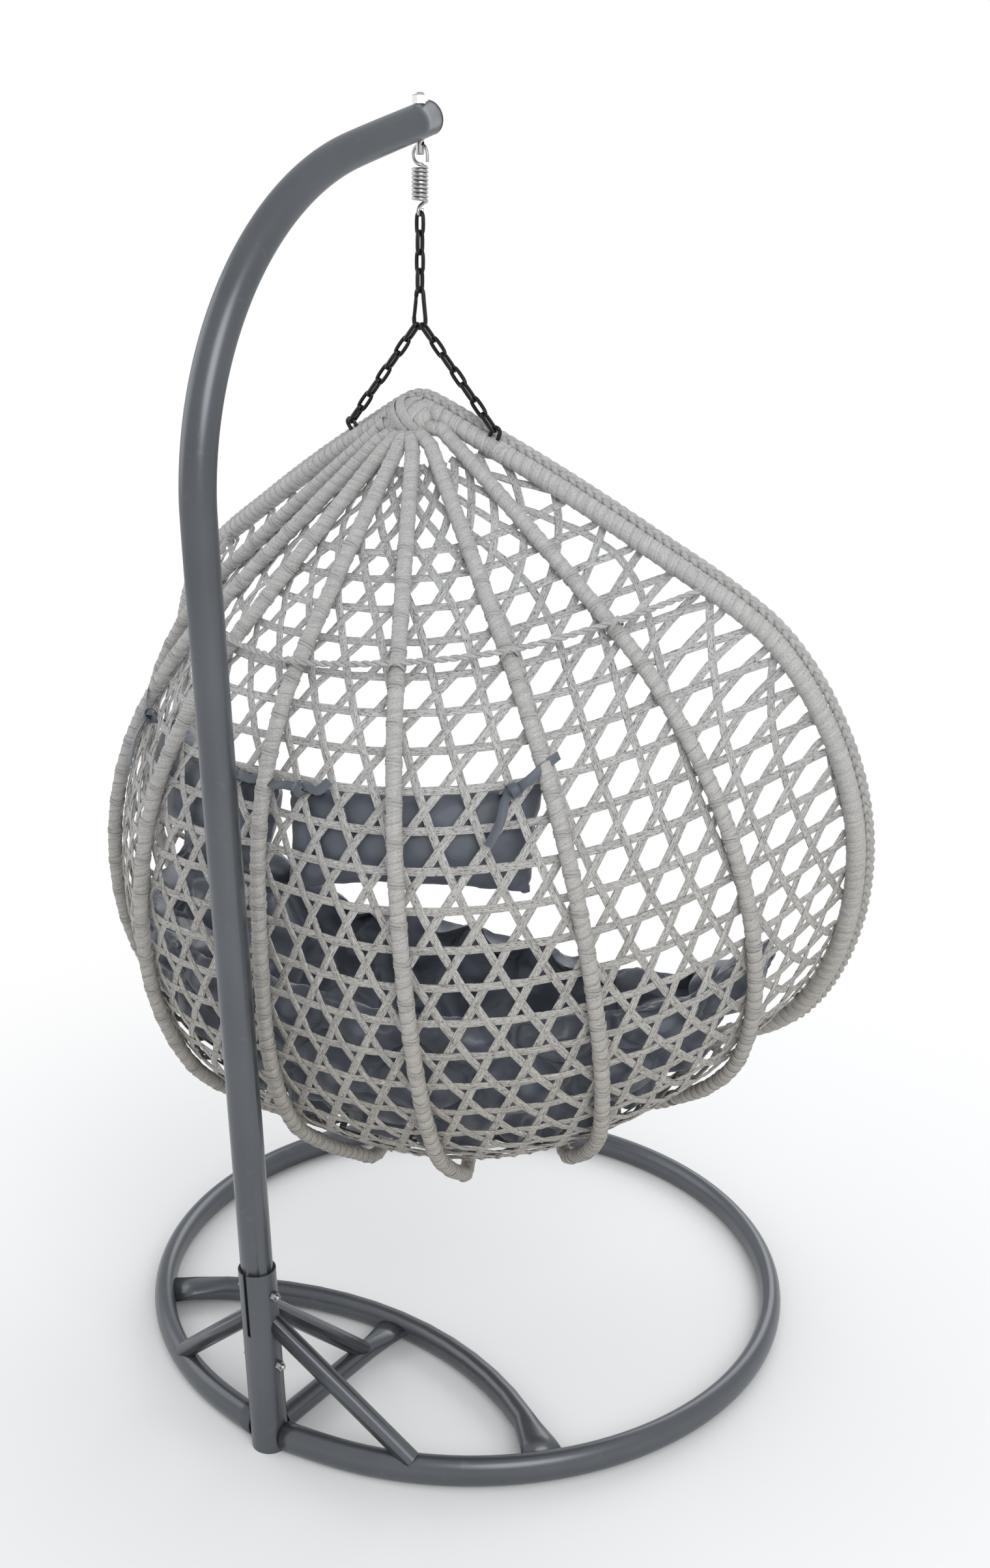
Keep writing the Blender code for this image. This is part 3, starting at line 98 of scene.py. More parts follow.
# name, place, width in metres, watts
LAMPS = (("key_lamp", (-3.4, 2.6, 3.4), 3.0, 80.0), ("fill_lamp", (3.6, 1.4, 2.6), 3.4, 30.0),
         ("front_lamp", (0.4, -4.0, 3.0), 3.4, 55.0))


def feed(tree, node, sockets):
    """Gives a node's sockets, by label or number, a value, an output, or another node's main output."""
    for label, source in sockets.items():
        if isinstance(source, bpy.types.Node):
            source = next(output for output in source.outputs if not output.is_unavailable)
        if isinstance(source, bpy.types.NodeSocket):
            tree.links.new(source, node.inputs[label])
        else:
            node.inputs[label].default_value = source
    return node


def put(tree, kind, sockets, **settings):
    """A new node in a tree, with its settings and what its sockets get."""
    node = tree.nodes.new(kind)
    for setting, value in settings.items():
        setattr(node, setting, value)
    return feed(tree, node, sockets)


def new_finish(name):
    """A plain material, with its tree and its shader."""
    finish = bpy.data.materials.new(name)
    finish.use_nodes = True
    return finish, finish.node_tree, finish.node_tree.nodes["Principled BSDF"]


floor_mesh = bpy.data.meshes.new("studio_floor")
floor_corners = ((-1, -1), (1, -1), (1, 1), (-1, 1))
floor_mesh.from_pydata([(x * FLOOR_REACH, y * FLOOR_REACH, 0.0) for x, y in floor_corners], [],
                       [(0, 1, 2, 3)])
studio_floor = new_object("studio_floor", floor_mesh)
floor_finish, tree, plain = new_finish("studio_floor")
feed(tree, plain, {"Base Color": FLOOR_SHADE, "Roughness": 0.9, "Specular IOR Level": 0.1})
place = put(tree, "ShaderNodeTexCoord", {})
far = put(tree, "ShaderNodeVectorMath", {0: place.outputs["Object"]}, operation="LENGTH")
fade = put(tree, "ShaderNodeMapRange", {"Value": far.outputs["Value"], "From Min": WHITE_FROM,
                                        "From Max": WHITE_BY}, interpolation_type="SMOOTHSTEP")
ray = put(tree, "ShaderNodeLightPath", {})
seen = put(tree, "ShaderNodeMath", {0: fade, 1: ray.outputs["Is Camera Ray"]}, operation="MULTIPLY")
white = put(tree, "ShaderNodeEmission", {"Color": PURE_WHITE})
shade = put(tree, "ShaderNodeMixShader", {"Fac": seen, 1: plain, 2: white})
feed(tree, tree.nodes["Material Output"], {"Surface": shade})
floor_mesh.materials.append(floor_finish)

for name, spot, size, power in LAMPS:
    lamp_data = bpy.data.lights.new(name, "AREA")
    lamp_data.shape = "DISK"
    lamp_data.size = size
    lamp_data.energy = power
    lamp = new_object(name, lamp_data)
    lamp.location = spot
    lamp.rotation_mode = "QUATERNION"
    lamp.rotation_quaternion = (LAMPS_AIM - Vector(spot)).to_track_quat("-Z", "Y")

surround = bpy.data.worlds.new("surround")
surround.use_nodes = True
tree = surround.node_tree
sky = feed(tree, tree.nodes["Background"], {"Color": SKY_COLOUR, "Strength": SKY_STRENGTH})
clear = put(tree, "ShaderNodeBackground", {"Color": PURE_WHITE})
ray = put(tree, "ShaderNodeLightPath", {})
seen = put(tree, "ShaderNodeMath", {0: ray.outputs["Is Camera Ray"], 1: ray.outputs["Is Transmission Ray"]},
           operation="MAXIMUM")
shade = put(tree, "ShaderNodeMixShader", {"Fac": seen, 1: sky, 2: clear})
feed(tree, tree.nodes["World Output"], {"Surface": shade})
bpy.context.scene.world = surround
bpy.context.scene.view_settings.view_transform = "Standard"

# ----------------------------------------------------------
# Stand.  Steel tube bent and welded: floor ring, arc brace and strut with pressed ends, three round braces,
# the slit socket and the mast that drops into it.  All in satin slate-grey powder coat over the welds.
# ----------------------------------------------------------
COAT_COLOUR = (0.110, 0.118, 0.130)
COAT_WORN = (0.162, 0.170, 0.184)
COAT_ROUGH = 0.28
COAT_METALLIC = 0.62
COAT_PEEL, COAT_PEEL_DEEP = 900.0, 0.00006
COAT_BUMP = 0.5
TUBE_CRISP = math.radians(42.0)         # corners sharper than this stay sharp when a tube is smoothed
SHARP_FROM = math.radians(50.0)
MERGE_WITHIN = 0.00001
QUAD_FLAT, QUAD_SQUARE = math.radians(35.0), math.radians(70.0)     # how uneven a quad may be made whole


def effect_group(name, inputs):
    """An empty effect group: its inputs are numbers or colours; it puts out colour, roughness and height."""
    group = bpy.data.node_groups.new(name, "ShaderNodeTree")
    for label, value in inputs.items():
        kind = "NodeSocketColor" if isinstance(value, tuple) else "NodeSocketFloat"
        group.interface.new_socket(label, in_out="INPUT", socket_type=kind).default_value = value
    for label, kind in (("Colour", "NodeSocketColor"), ("Roughness", "NodeSocketFloat"),
                        ("Height", "NodeSocketFloat")):
        group.interface.new_socket(label, in_out="OUTPUT", socket_type=kind)
    return group, group.nodes.new("NodeGroupInput"), group.nodes.new("NodeGroupOutput")


def effect_finish(name, group, given, bump_strength, bump_deep, sockets):
    """A material with its colour, roughness and relief from an effect group; sockets holds the rest."""
    finish, tree, shader = new_finish(name)
    layer = put(tree, "ShaderNodeGroup", given, node_tree=group)
    bump = put(tree, "ShaderNodeBump", {"Height": layer.outputs["Height"], "Strength": bump_strength,
                                        "Distance": bump_deep})
    feed(tree, shader, {"Base Color": layer.outputs["Colour"], "Roughness": layer.outputs["Roughness"],
                        "Normal": bump, **sockets})
    return finish


def sprayed_coat_group():
    """Powder coat: fine orange peel, faint clouding, and dust caught here and there."""
    group, given, out = effect_group("sprayed_coat", {
        "Colour": (0.1, 0.1, 0.1, 1.0), "Worn Colour": (0.2, 0.2, 0.2, 1.0), "Roughness": 0.4,
        "Peel Size": 900.0})
    where = put(group, "ShaderNodeTexCoord", {}).outputs["Object"]
    peel = put(group, "ShaderNodeTexNoise", {"Vector": where, "Scale": given.outputs["Peel Size"],
                                             "Detail": 2.0})
    cloud = put(group, "ShaderNodeTexNoise", {"Vector": where, "Scale": 7.0, "Detail": 5.0})
    dust = put(group, "ShaderNodeTexNoise", {"Vector": where, "Scale": 60.0, "Detail": 6.0})
    spots = put(group, "ShaderNodeMapRange", {"Value": dust, "From Min": 0.60, "From Max": 0.78,
                                              "To Max": 0.7})
    mist = put(group, "ShaderNodeMapRange", {"Value": cloud, "From Min": 0.35, "From Max": 0.70,
                                             "To Max": 0.35})
    worn = put(group, "ShaderNodeMath", {0: spots, 1: mist}, operation="MAXIMUM")
    tint = put(group, "ShaderNodeMix", {"Factor": worn, "A": given.outputs["Colour"],
                                        "B": given.outputs["Worn Colour"]}, data_type="RGBA")
    rough = put(group, "ShaderNodeMath", {0: worn, 1: 0.16, 2: given.outputs["Roughness"]},
                operation="MULTIPLY_ADD")
    feed(group, out, {"Colour": tint, "Roughness": rough, "Height": peel})
    return group


sprayed_coat = sprayed_coat_group()


def coated(name, colour, worn, rough, peel_size, peel_deep, sockets):
    """A material that is sprayed or dipped over metal or plastic."""
    given = {"Colour": (*colour, 1.0), "Worn Colour": (*worn, 1.0), "Roughness": rough,
             "Peel Size": peel_size}
    return effect_finish(name, sprayed_coat, given, COAT_BUMP, peel_deep, sockets)


powder_coat = coated("slate_powder_coat", COAT_COLOUR, COAT_WORN, COAT_ROUGH, COAT_PEEL, COAT_PEEL_DEEP,
                     {"Metallic": COAT_METALLIC})


def cad_shape(cad_name):
    """A CAD piece as an editable shape, its loose triangles joined at their corners."""
    shape = bmesh.new()
    shape.from_mesh(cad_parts[cad_name].data)
    bmesh.ops.remove_doubles(shape, verts=shape.verts, dist=MERGE_WITHIN)
    return shape


def shape_object(name, shape):
    """An object made of an edited shape."""
    mesh = bpy.data.meshes.new(name)
    shape.to_mesh(mesh)
    shape.free()
    return new_object(name, mesh)


def applied(piece):
    """Makes what the modifiers give a piece its plain mesh."""
    made = bpy.data.meshes.new_from_object(piece.evaluated_get(bpy.context.evaluated_depsgraph_get()))
    piece.modifiers.clear()
    piece.data = made
    return made


def subdivided(piece, levels, finish):
    """A piece subdivided into a plain mesh, in one finish and shaded smooth."""
    finer = piece.modifiers.new("finer", "SUBSURF")
    finer.levels = finer.render_levels = levels
    mesh = applied(piece)
    mesh.materials.clear()
    mesh.materials.append(finish)
    mesh.shade_smooth()
    return mesh


def values_of(mesh, label):
    """Each vertex's place ("co") or direction ("normal"), as rows of three."""
    values = np.empty(len(mesh.vertices) * 3)
    mesh.vertices.foreach_get(label, values)
    return values.reshape(-1, 3)


def move_to(mesh, spots):
    """Moves each vertex to its row of spots."""
    mesh.vertices.foreach_set("co", spots.ravel())
    mesh.update()


def smoothed(name, cad_name, body, finish, levels=2, crisp=TUBE_CRISP, regain=0.0):
    """A CAD piece as one smooth piece: quads made whole, then subdivided, with crisp ends kept.
    Rounding a thin wire makes it thinner, so regain gives that back."""
    shape = cad_shape(cad_name)
    bmesh.ops.join_triangles(shape, faces=shape.faces, angle_face_threshold=QUAD_FLAT,
                             angle_shape_threshold=QUAD_SQUARE)
    keep = shape.edges.layers.float.new("crease_edge")
    for edge in shape.edges:
        if len(edge.link_faces) == 2 and edge.calc_face_angle() > crisp:
            edge[keep] = 1.0
    piece = shape_object(name, shape)
    mesh = subdivided(piece, levels, finish)
    if regain:
        move_to(mesh, values_of(mesh, "co") + values_of(mesh, "normal") * regain)
    mesh.set_sharp_from_angle(angle=SHARP_FROM)
    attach(piece, body)
    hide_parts(cad_name)


for cad_name in ("base_ring", "mast"):
    smoothed(cad_name + "_tube", cad_name, "stand", powder_coat)
for cad_name in ("arc_brace", "radial_strut", "brace_left", "brace_right", "brace_centre", "mast_socket"):
    smoothed(cad_name + "_tube", cad_name, "stand", powder_coat, levels=0)

# ----------------------------------------------------------
# Arm plug, socket bolts, eye bolt and nuts.  Moulded plastic plug; the hardware is bright zinc-plated steel,
# screwed through socket and mast, and down through the arm.
# ----------------------------------------------------------
cap_plastic = coated("moulded_plug", (0.085, 0.095, 0.115), (0.11, 0.12, 0.14), 0.5, 500.0, 0.00004, {})
bright_zinc = coated("bright_zinc", (0.50, 0.50, 0.49), (0.36, 0.35, 0.33), 0.26, 1400.0, 0.00003,
                     {"Metallic": 1.0})
smoothed("arm_plug", "arm_end_cap", "stand", cap_plastic, crisp=SHARP_FROM)
for cad_name in ("socket_bolt_upper", "socket_bolt_lower", "socket_nut_upper", "socket_nut_lower",
                 "hanger_nut", "hanger_eye_bolt"):
    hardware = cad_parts[cad_name].data
    hardware.materials.clear()
    hardware.materials.append(bright_zinc)

# ----------------------------------------------------------
# Spring, chains, snap hook and anchor loops.  Round zinc wire wound as an extension spring, then welded
# links and a pear-shaped snap hook in gloss black coating; the last links hold the basket's wire loops.
# ----------------------------------------------------------
SPRING_REGAIN = 0.0003
WIRE_REGAIN = 0.0006
gloss_black = coated("gloss_black", (0.005, 0.005, 0.006), (0.014, 0.014, 0.015), 0.20, 300.0, 0.00005,
                     {"Coat Weight": 0.10, "Specular IOR Level": 0.32})
smoothed("wound_spring", "coil_spring", "spring", bright_zinc, regain=SPRING_REGAIN)
# name, CAD name and body of each black wire piece, from the spring down
black_wires = [("first_link", "top_link_1", "first_link")]
black_wires += [("upper_link_%d" % n, "top_link_%d" % n, "top_chain") for n in (2, 3, 4)]
black_wires += [("snap_hook_bow", "snap_hook_body", "snap_hook"),
                ("snap_hook_latch", "snap_hook_gate", "snap_gate")]
for side in ("left", "right"):
    black_wires += [("chain_%s_%d" % (side, n), "side_link_%s_%d" % (side, n), "snap_hook")
                    for n in range(1, 8)]
    black_wires.append(("rim_loop_" + side, "anchor_staple_" + side, "basket"))
for name, cad_name, body in black_wires:
    smoothed(name, cad_name, body, gloss_black, regain=WIRE_REGAIN)

# ----------------------------------------------------------
# Basket frame.  A wrapped steel rim round the opening and seven wrapped ribs, which lie on one swelling
# surface; its profiles at the back and at the rim are (distance from the leaning axis, height).
# ----------------------------------------------------------
BACK_PROFILE = ((0.062, 1.449), (0.161, 1.359), (0.280, 1.248), (0.403, 1.126), (0.506, 0.975),
                (0.564, 0.813), (0.578, 0.651), (0.545, 0.515), (0.478, 0.440), (0.405, 0.385))
RIM_PROFILE = ((0.024, 1.507), (0.190, 1.425), (0.360, 1.330), (0.521, 1.226), (0.605, 1.096),
               (0.639, 0.958), (0.630, 0.820), (0.588, 0.699), (0.526, 0.612), (0.441, 0.560))
RIM_LIP = ((0.335, -0.262, 0.503), (0.180, -0.284, 0.470), (0.0, -0.290, 0.461))
RIM_TURN = math.radians(94.0)
RIB_TURN = math.radians(25.0)
SHOULDER_POWER, HEM_POWER = 7.0, 2.5    # how late the back's distance and height turn into the rim's
BASKET_LEAN, BASKET_LEAN_Z = 0.226, 1.500
BASKET_SHIFT = 0.008
SPINE_SET_IN = 0.044                    # the back is pressed in a little along the middle rib
SPINE_MID_Z, SPINE_REACH_Z, SPINE_REACH_TURN = 0.800, 0.260, math.radians(15.0)
RIM_D, RIB_D = 0.028, 0.022
RIB_HOOK = ((-0.034, -0.020), (-0.062, -0.014), (-0.082, 0.020))
CLEAR = 0.0003
STRAND_SHARP = math.radians(55.0)
bolt_low, bolt_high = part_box("hanger_eye_bolt")
hang_y = (bolt_low.y + bolt_high.y) / 2
basket_axis_y = hang_y + BASKET_SHIFT


def smooth_between(p0, p1, p2, p3, t):
    """A point on a smooth curve from p1 to p2."""
    return 0.5 * (2 * p1 + (p2 - p0) * t + (2 * p0 - 5 * p1 + 4 * p2 - p3) * t * t
                  + (3 * p1 - p0 - 3 * p2 + p3) * t ** 3)


def curve_through(points, spans):
    """Points on a smooth open curve through the given ones."""
    result = []
    last = len(points) - 1
    for k in range(last):
        near = (points[max(k - 1, 0)], points[k], points[k + 1], points[min(k + 2, last)])
        result += [smooth_between(*near, step / spans) for step in range(spans)]
    return result + [points[last].copy()]


def profile_at(profile, share):
    """Distance and height at a share of a profile, from the peak down."""
    last = len(profile) - 1
    place = min(max(share, 0.0), 1.0) * last
    k = min(int(place), last - 1)
    near = (profile[max(k - 1, 0)], profile[k], profile[k + 1], profile[min(k + 2, last)])
    return [smooth_between(*(p[i] for p in near), place - k) for i in (0, 1)]


def frame_point(share, turn):
    """The surface through the middle of ribs and rim."""
    round_share = abs(turn) / RIM_TURN
    back = profile_at(BACK_PROFILE, share)
    rim = profile_at(RIM_PROFILE, share)
    distance = back[0] + (rim[0] - back[0]) * round_share ** SHOULDER_POWER
    height = back[1] + (rim[1] - back[1]) * round_share ** HEM_POWER
    distance -= SPINE_SET_IN * math.exp(-((height - SPINE_MID_Z) / SPINE_REACH_Z) ** 2
                                        - (turn / SPINE_REACH_TURN) ** 2)
    y = basket_axis_y + distance * math.cos(turn) + BASKET_LEAN * (height - BASKET_LEAN_Z)
    return Vector((distance * math.sin(turn), y, height))


def inward(share, turn):
    """Unit direction from the frame surface into the basket."""
    step = 0.004
    share = min(max(share, step), 1.0 - step)
    down = frame_point(share + step, turn) - frame_point(share - step, turn)
    round_way = frame_point(share, turn + step) - frame_point(share, turn - step)
    normal = down.cross(round_way).normalized()
    here = frame_point(share, turn)
    middle = Vector((0.0, basket_axis_y + BASKET_LEAN * (here.z + 0.05 - BASKET_LEAN_Z), here.z + 0.05))
    return normal if normal.dot(middle - here) > 0 else -normal


def share_at_height(turn, height):
    """The share of the profile at which the frame surface passes a height."""
    low, high = 0.0, 1.0
    for _ in range(30):
        middle = (low + high) / 2
        if frame_point(middle, turn).z > height:
            low = middle
        else:
            high = middle
    return (low + high) / 2


def laid_strand_tree():
    """Geometry Nodes: a strand swept along each run of edges, flat side to the run's 'facing'."""
    tree = bpy.data.node_groups.new("laid_strand", "GeometryNodeTree")
    sockets = {}
    for label, kind in (("Geometry", "Geometry"), ("Width", "Float"), ("Thickness", "Float"),
                        ("Rounding", "Float"), ("Corner Steps", "Int"), ("Finish", "Material")):
        made = tree.interface.new_socket(label, in_out="INPUT", socket_type="NodeSocket" + kind)
        sockets[label] = made.identifier
    tree.interface.new_socket("Geometry", in_out="OUTPUT", socket_type="NodeSocketGeometry")
    given, out = tree.nodes.new("NodeGroupInput"), tree.nodes.new("NodeGroupOutput")
    run = put(tree, "GeometryNodeMeshToCurve", {"Mesh": given.outputs["Geometry"]})
    facing = put(tree, "GeometryNodeInputNamedAttribute", {"Name": "facing"}, data_type="FLOAT_VECTOR")
    aim = put(tree, "GeometryNodeSetCurveNormal", {"Curve": run, "Normal": facing.outputs["Attribute"]},
              mode="FREE")
    length = put(tree, "GeometryNodeSplineParameter", {}).outputs["Length"]
    along = put(tree, "GeometryNodeStoreNamedAttribute", {"Geometry": aim, "Name": "along", "Value": length},
                data_type="FLOAT", domain="POINT")
    shape = put(tree, "GeometryNodeCurvePrimitiveQuadrilateral", {"Width": given.outputs["Thickness"],
                                                                  "Height": given.outputs["Width"]})
    soften = put(tree, "GeometryNodeFilletCurve", {"Curve": shape, "Count": given.outputs["Corner Steps"],
                                                   "Radius": given.outputs["Rounding"]}, mode="POLY")
    where = put(tree, "ShaderNodeSeparateXYZ", {0: put(tree, "GeometryNodeInputPosition", {})})
    side = put(tree, "ShaderNodeMath", {0: where.outputs["Y"], 1: given.outputs["Width"]},
               operation="DIVIDE")
    across = put(tree, "GeometryNodeStoreNamedAttribute", {"Geometry": soften, "Name": "across",
                                                           "Value": side},
                 data_type="FLOAT", domain="POINT")
    sweep = put(tree, "GeometryNodeCurveToMesh", {"Curve": along, "Profile Curve": across,
                                                  "Fill Caps": True})
    whole = put(tree, "GeometryNodeRealizeInstances", {"Geometry": sweep})
    dress = put(tree, "GeometryNodeSetMaterial", {"Geometry": whole, "Material": given.outputs["Finish"]})
    feed(tree, out, {"Geometry": dress})
    return tree, sockets


laid_strand, strand_sockets = laid_strand_tree()


def lay(name, runs, width, thickness, finish, rounding=None, corner_steps=1):
    """Strands along runs, as one plain mesh object.  A run is its spots and whether it is closed.  A spot is
    a point and the direction that the strand's flat side faces there."""
    verts, edges, facings, numbers = [], [], [], []
    for number, (spots, closed) in enumerate(runs):
        first = len(verts)
        verts += [point for point, _ in spots]
        facings += [face for _, face in spots]
        numbers += [number * 0.618 % 1.0] * len(spots)
        edges += [(first + k, first + k + 1) for k in range(len(spots) - 1)]
        if closed:
            edges.append((len(verts) - 1, first))
    mesh = bpy.data.meshes.new(name + "_runs")
    mesh.from_pydata(verts, edges, [])
    mesh.attributes.new("facing", "FLOAT_VECTOR", "POINT").data.foreach_set(
        "vector", [c for face in facings for c in face])
    mesh.attributes.new("strand", "FLOAT", "POINT").data.foreach_set("value", numbers)
    piece = new_object(name, mesh)
    sweep = piece.modifiers.new("laid", "NODES")
    sweep.node_group = laid_strand
    for label, value in (("Width", width), ("Thickness", thickness), ("Finish", finish),
                         ("Rounding", rounding or thickness * 0.32), ("Corner Steps", corner_steps)):
        sweep[strand_sockets[label]] = value
    swept = applied(piece)
    swept.shade_smooth()
    swept.set_sharp_from_angle(angle=STRAND_SHARP)
    return piece


def joined(piece, *others):
    """Takes other objects into a piece."""
    bpy.ops.object.select_all(action="DESELECT")
    for part in (*others, piece):
        part.select_set(True)
    bpy.context.view_layer.objects.active = piece
    bpy.ops.object.join()


def weathered_grain_group():
    """Flat extruded strand with a printed wood grain: long streaks, short dark and pale flecks.
    Colour turns darker and warmer towards the foot of the basket, partly weathering and partly painted
    shade."""
    group, given, out = effect_group("weathered_grain", {
        "Colour": (0.4, 0.4, 0.4, 1.0), "Dark": (0.1, 0.1, 0.1, 1.0), "Pale": (0.7, 0.7, 0.7, 1.0),
        "Low Worn And Shaded Colour": (0.4, 0.4, 0.4, 1.0), "Along Scale": 150.0, "Across Scale": 11.0, "Flecks": 0.5})
    high_z, low_z, strands_apart = 1.35, 0.45, 61.0

    def attribute(label):
        return put(group, "ShaderNodeAttribute", {}, attribute_name=label).outputs["Fac"]

    def times(value, factor):
        return put(group, "ShaderNodeMath", {0: value, 1: factor}, operation="MULTIPLY")

    def streak(along, across, detail, low, high):
        """Noise drawn out along the strand, its own on each strand, spread between two levels."""
        spot = put(group, "ShaderNodeCombineXYZ", {
            0: times(times(attribute("along"), along), given.outputs["Along Scale"]),
            1: times(times(attribute("across"), across), given.outputs["Across Scale"]),
            2: times(attribute("strand"), strands_apart)})
        grain = put(group, "ShaderNodeTexNoise", {"Vector": spot, "Scale": 1.0, "Detail": detail,
                                                  "Roughness": 0.62})
        return put(group, "ShaderNodeMapRange", {"Value": grain, "From Min": low, "From Max": high})

    def blend(factor, first, second):
        return put(group, "ShaderNodeMix", {"Factor": factor, "A": first, "B": second}, data_type="RGBA")

    place = put(group, "ShaderNodeTexCoord", {})
    height = put(group, "ShaderNodeSeparateXYZ", {0: place.outputs["Object"]}).outputs["Z"]
    # painted shade mixed with weathering: the strand's colour turns darker and warmer lower down
    low_wear_and_painted_shade = put(group, "ShaderNodeMapRange", {"Value": height, "From Min": high_z, "From Max": low_z},
                   interpolation_type="SMOOTHSTEP")
    dark_colour, pale_colour = given.outputs["Dark"], given.outputs["Pale"]
    dark = times(streak(1.0, 1.0, 4.0, 0.53, 0.64), given.outputs["Flecks"])
    pale = times(streak(0.8, 0.8, 4.0, 0.55, 0.68), given.outputs["Flecks"])
    broad = times(streak(0.10, 0.28, 3.0, 0.42, 0.72), 0.34)
    colour = blend(low_wear_and_painted_shade, given.outputs["Colour"], given.outputs["Low Worn And Shaded Colour"])
    colour = blend(times(attribute("strand"), 0.16), colour, dark_colour)
    colour = blend(dark, blend(pale, blend(broad, colour, dark_colour), pale_colour), dark_colour)
    rough = put(group, "ShaderNodeMapRange", {"Value": dark, "To Min": 0.52, "To Max": 0.74})
    relief = put(group, "ShaderNodeMath", {0: streak(0.4, 1.3, 4.0, 0.3, 0.7), 1: dark},
                 operation="SUBTRACT")
    feed(group, out, {"Colour": colour, "Roughness": rough, "Height": relief})
    return group


weathered_grain = weathered_grain_group()


def strand_finish(name, colour, low_worn_shaded_colour, flecks, along_scale, across_scale):
    """One shade of the grey weathered strand; the scales set how short and how fine its flecks are."""
    given = {"Colour": (*colour, 1.0), "Low Worn And Shaded Colour": (*low_worn_shaded_colour, 1.0), "Dark": (0.060, 0.058, 0.055, 1.0),
             "Pale": (0.66, 0.65, 0.63, 1.0), "Flecks": flecks, "Along Scale": along_scale,
             "Across Scale": across_scale}
    return effect_finish(name, weathered_grain, given, 0.6, 0.00025, {"Specular IOR Level": 0.35})


# the second colour of each is the darker, warmer foot: partly weathering, partly painted shade
woven_grey = strand_finish("woven_grey_strand", (0.57, 0.57, 0.56), (0.43, 0.40, 0.35), 0.95, 165.0, 11.0)
wrapped_grey = strand_finish("wrapped_grey_strand", (0.56, 0.555, 0.54), (0.44, 0.41, 0.365), 0.5,
                             270.0, 24.0)

# ----------------------------------------------------------
# Ribs.  Steel rod bound edge over edge with flat strand, which climbs it as a close helix.  Thin double
# turns mark where each level strand of the weave is tied on.  They hook under the seat at their feet.
# ----------------------------------------------------------
WRAP_PITCH, WRAP_THICK = 0.0165, 0.0011
WRAP_LAP = 1.14                         # width of the strand over the pitch
LAP_RISE = 0.85                         # share of its thickness by which each turn rises over the last
WRAP_STEPS = 14
UNDER_SKIN = 0.0002                     # wraps lie this far inside the CAD surface, and ties outside
TIE_WIDE, TIE_THICK, TIE_SLANT = 0.0042, 0.0014, 0.16
CORE_STEP, CORE_CORNERS = 0.012, 3
RIB_CORE, RIB_CORE_ROUND = 0.84, 0.419  # the bare rod's width and rounding, over the rib's diameter
LEVEL_FROM_Z, LEVEL_TO_Z = 1.33, 0.42   # the weave's uppermost level strand, and the end of its ties
WEAVE_SPACING = 0.062
ROW_PITCH = WEAVE_SPACING * math.sqrt(3.0) / 2
RUN_IN, RUN_IN_SHARE = Vector((0.0, 0.016, -0.017)), 0.78   # where ribs run in, from the rim's top


def evenly(path, spacing, closed=False):
    """A path as points at even distances, close to the spacing."""
    ring = path + path[:1] if closed else path
    lengths = [0.0]
    for a, b in zip(ring, ring[1:]):
        lengths.append(lengths[-1] + (b - a).length)
    count = max(2, round(lengths[-1] / spacing))
    points = []
    k = 0
    for n in range(count + (0 if closed else 1)):
        goal = lengths[-1] * n / count
        while k < len(ring) - 2 and lengths[k + 1] < goal:
            k += 1
        t = (goal - lengths[k]) / max(lengths[k + 1] - lengths[k], 1e-9)
        points.append(ring[k].lerp(ring[k + 1], t))
    return points


def closed_length(path):
    """The length of a closed path."""
    return sum((b - a).length for a, b in zip(path, path[1:] + path[:1]))


def ways(path, closed):
    """The direction of a path at each of its points."""
    last = len(path) - 1
    if closed:
        return [(path[(k + 1) % len(path)] - path[k - 1]).normalized() for k in range(len(path))]
    return [(path[min(k + 1, last)] - path[max(k - 1, 0)]).normalized() for k in range(len(path))]


def helix_round(path, radius, pitch, thick, steps, reference, closed=False, start=0.0):
    """A flat strand wound round a path, its face tilted so that each turn laps over the one before."""
    tilt = thick * LAP_RISE / (pitch * WRAP_LAP)
    fine = evenly(path, pitch / steps, closed)
    if closed:
        count = len(fine) - len(fine) % steps
        fine = evenly(path, closed_length(path) / count, True)[:count]
    spots = []
    for k, along in enumerate(ways(fine, closed)):
        side = (reference - along * reference.dot(along)).normalized()
        a = start + math.tau * k / steps
        out = side * math.cos(a) + along.cross(side) * math.sin(a)
        spots.append((fine[k] + out * radius, (out + along * tilt).normalized()))
    return spots, closed


def band(centre, along, radius, reference, steps=16):
    """One closed turn of strand round a bar."""
    side = (reference - along * reference.dot(along)).normalized()
    other = along.cross(side)
    outs = [side * math.cos(a) + other * math.sin(a) for a in (math.tau * k / steps for k in range(steps))]
    return [(centre + out * radius, out) for out in outs], True


def rib_course(turn, steps):
    """A rib's middle line, from the peak to the end of its hook."""
    path = [frame_point(k / steps, turn) for k in range(steps + 1)]
    low = path[-1]
    under_rim = frame_point(0.0, RIM_TURN) + RUN_IN
    top = path[0].lerp(Vector((0.0, under_rim.y, under_rim.z)), RUN_IN_SHARE)
    out = Vector((math.sin(turn), math.cos(turn), 0.0))
    hook = [low + out * d + Vector((0.0, 0.0, z)) for d, z in RIB_HOOK]
    return [top, path[0].lerp(top, 0.5)] + path[:-1] + curve_through([low, *hook], 6)


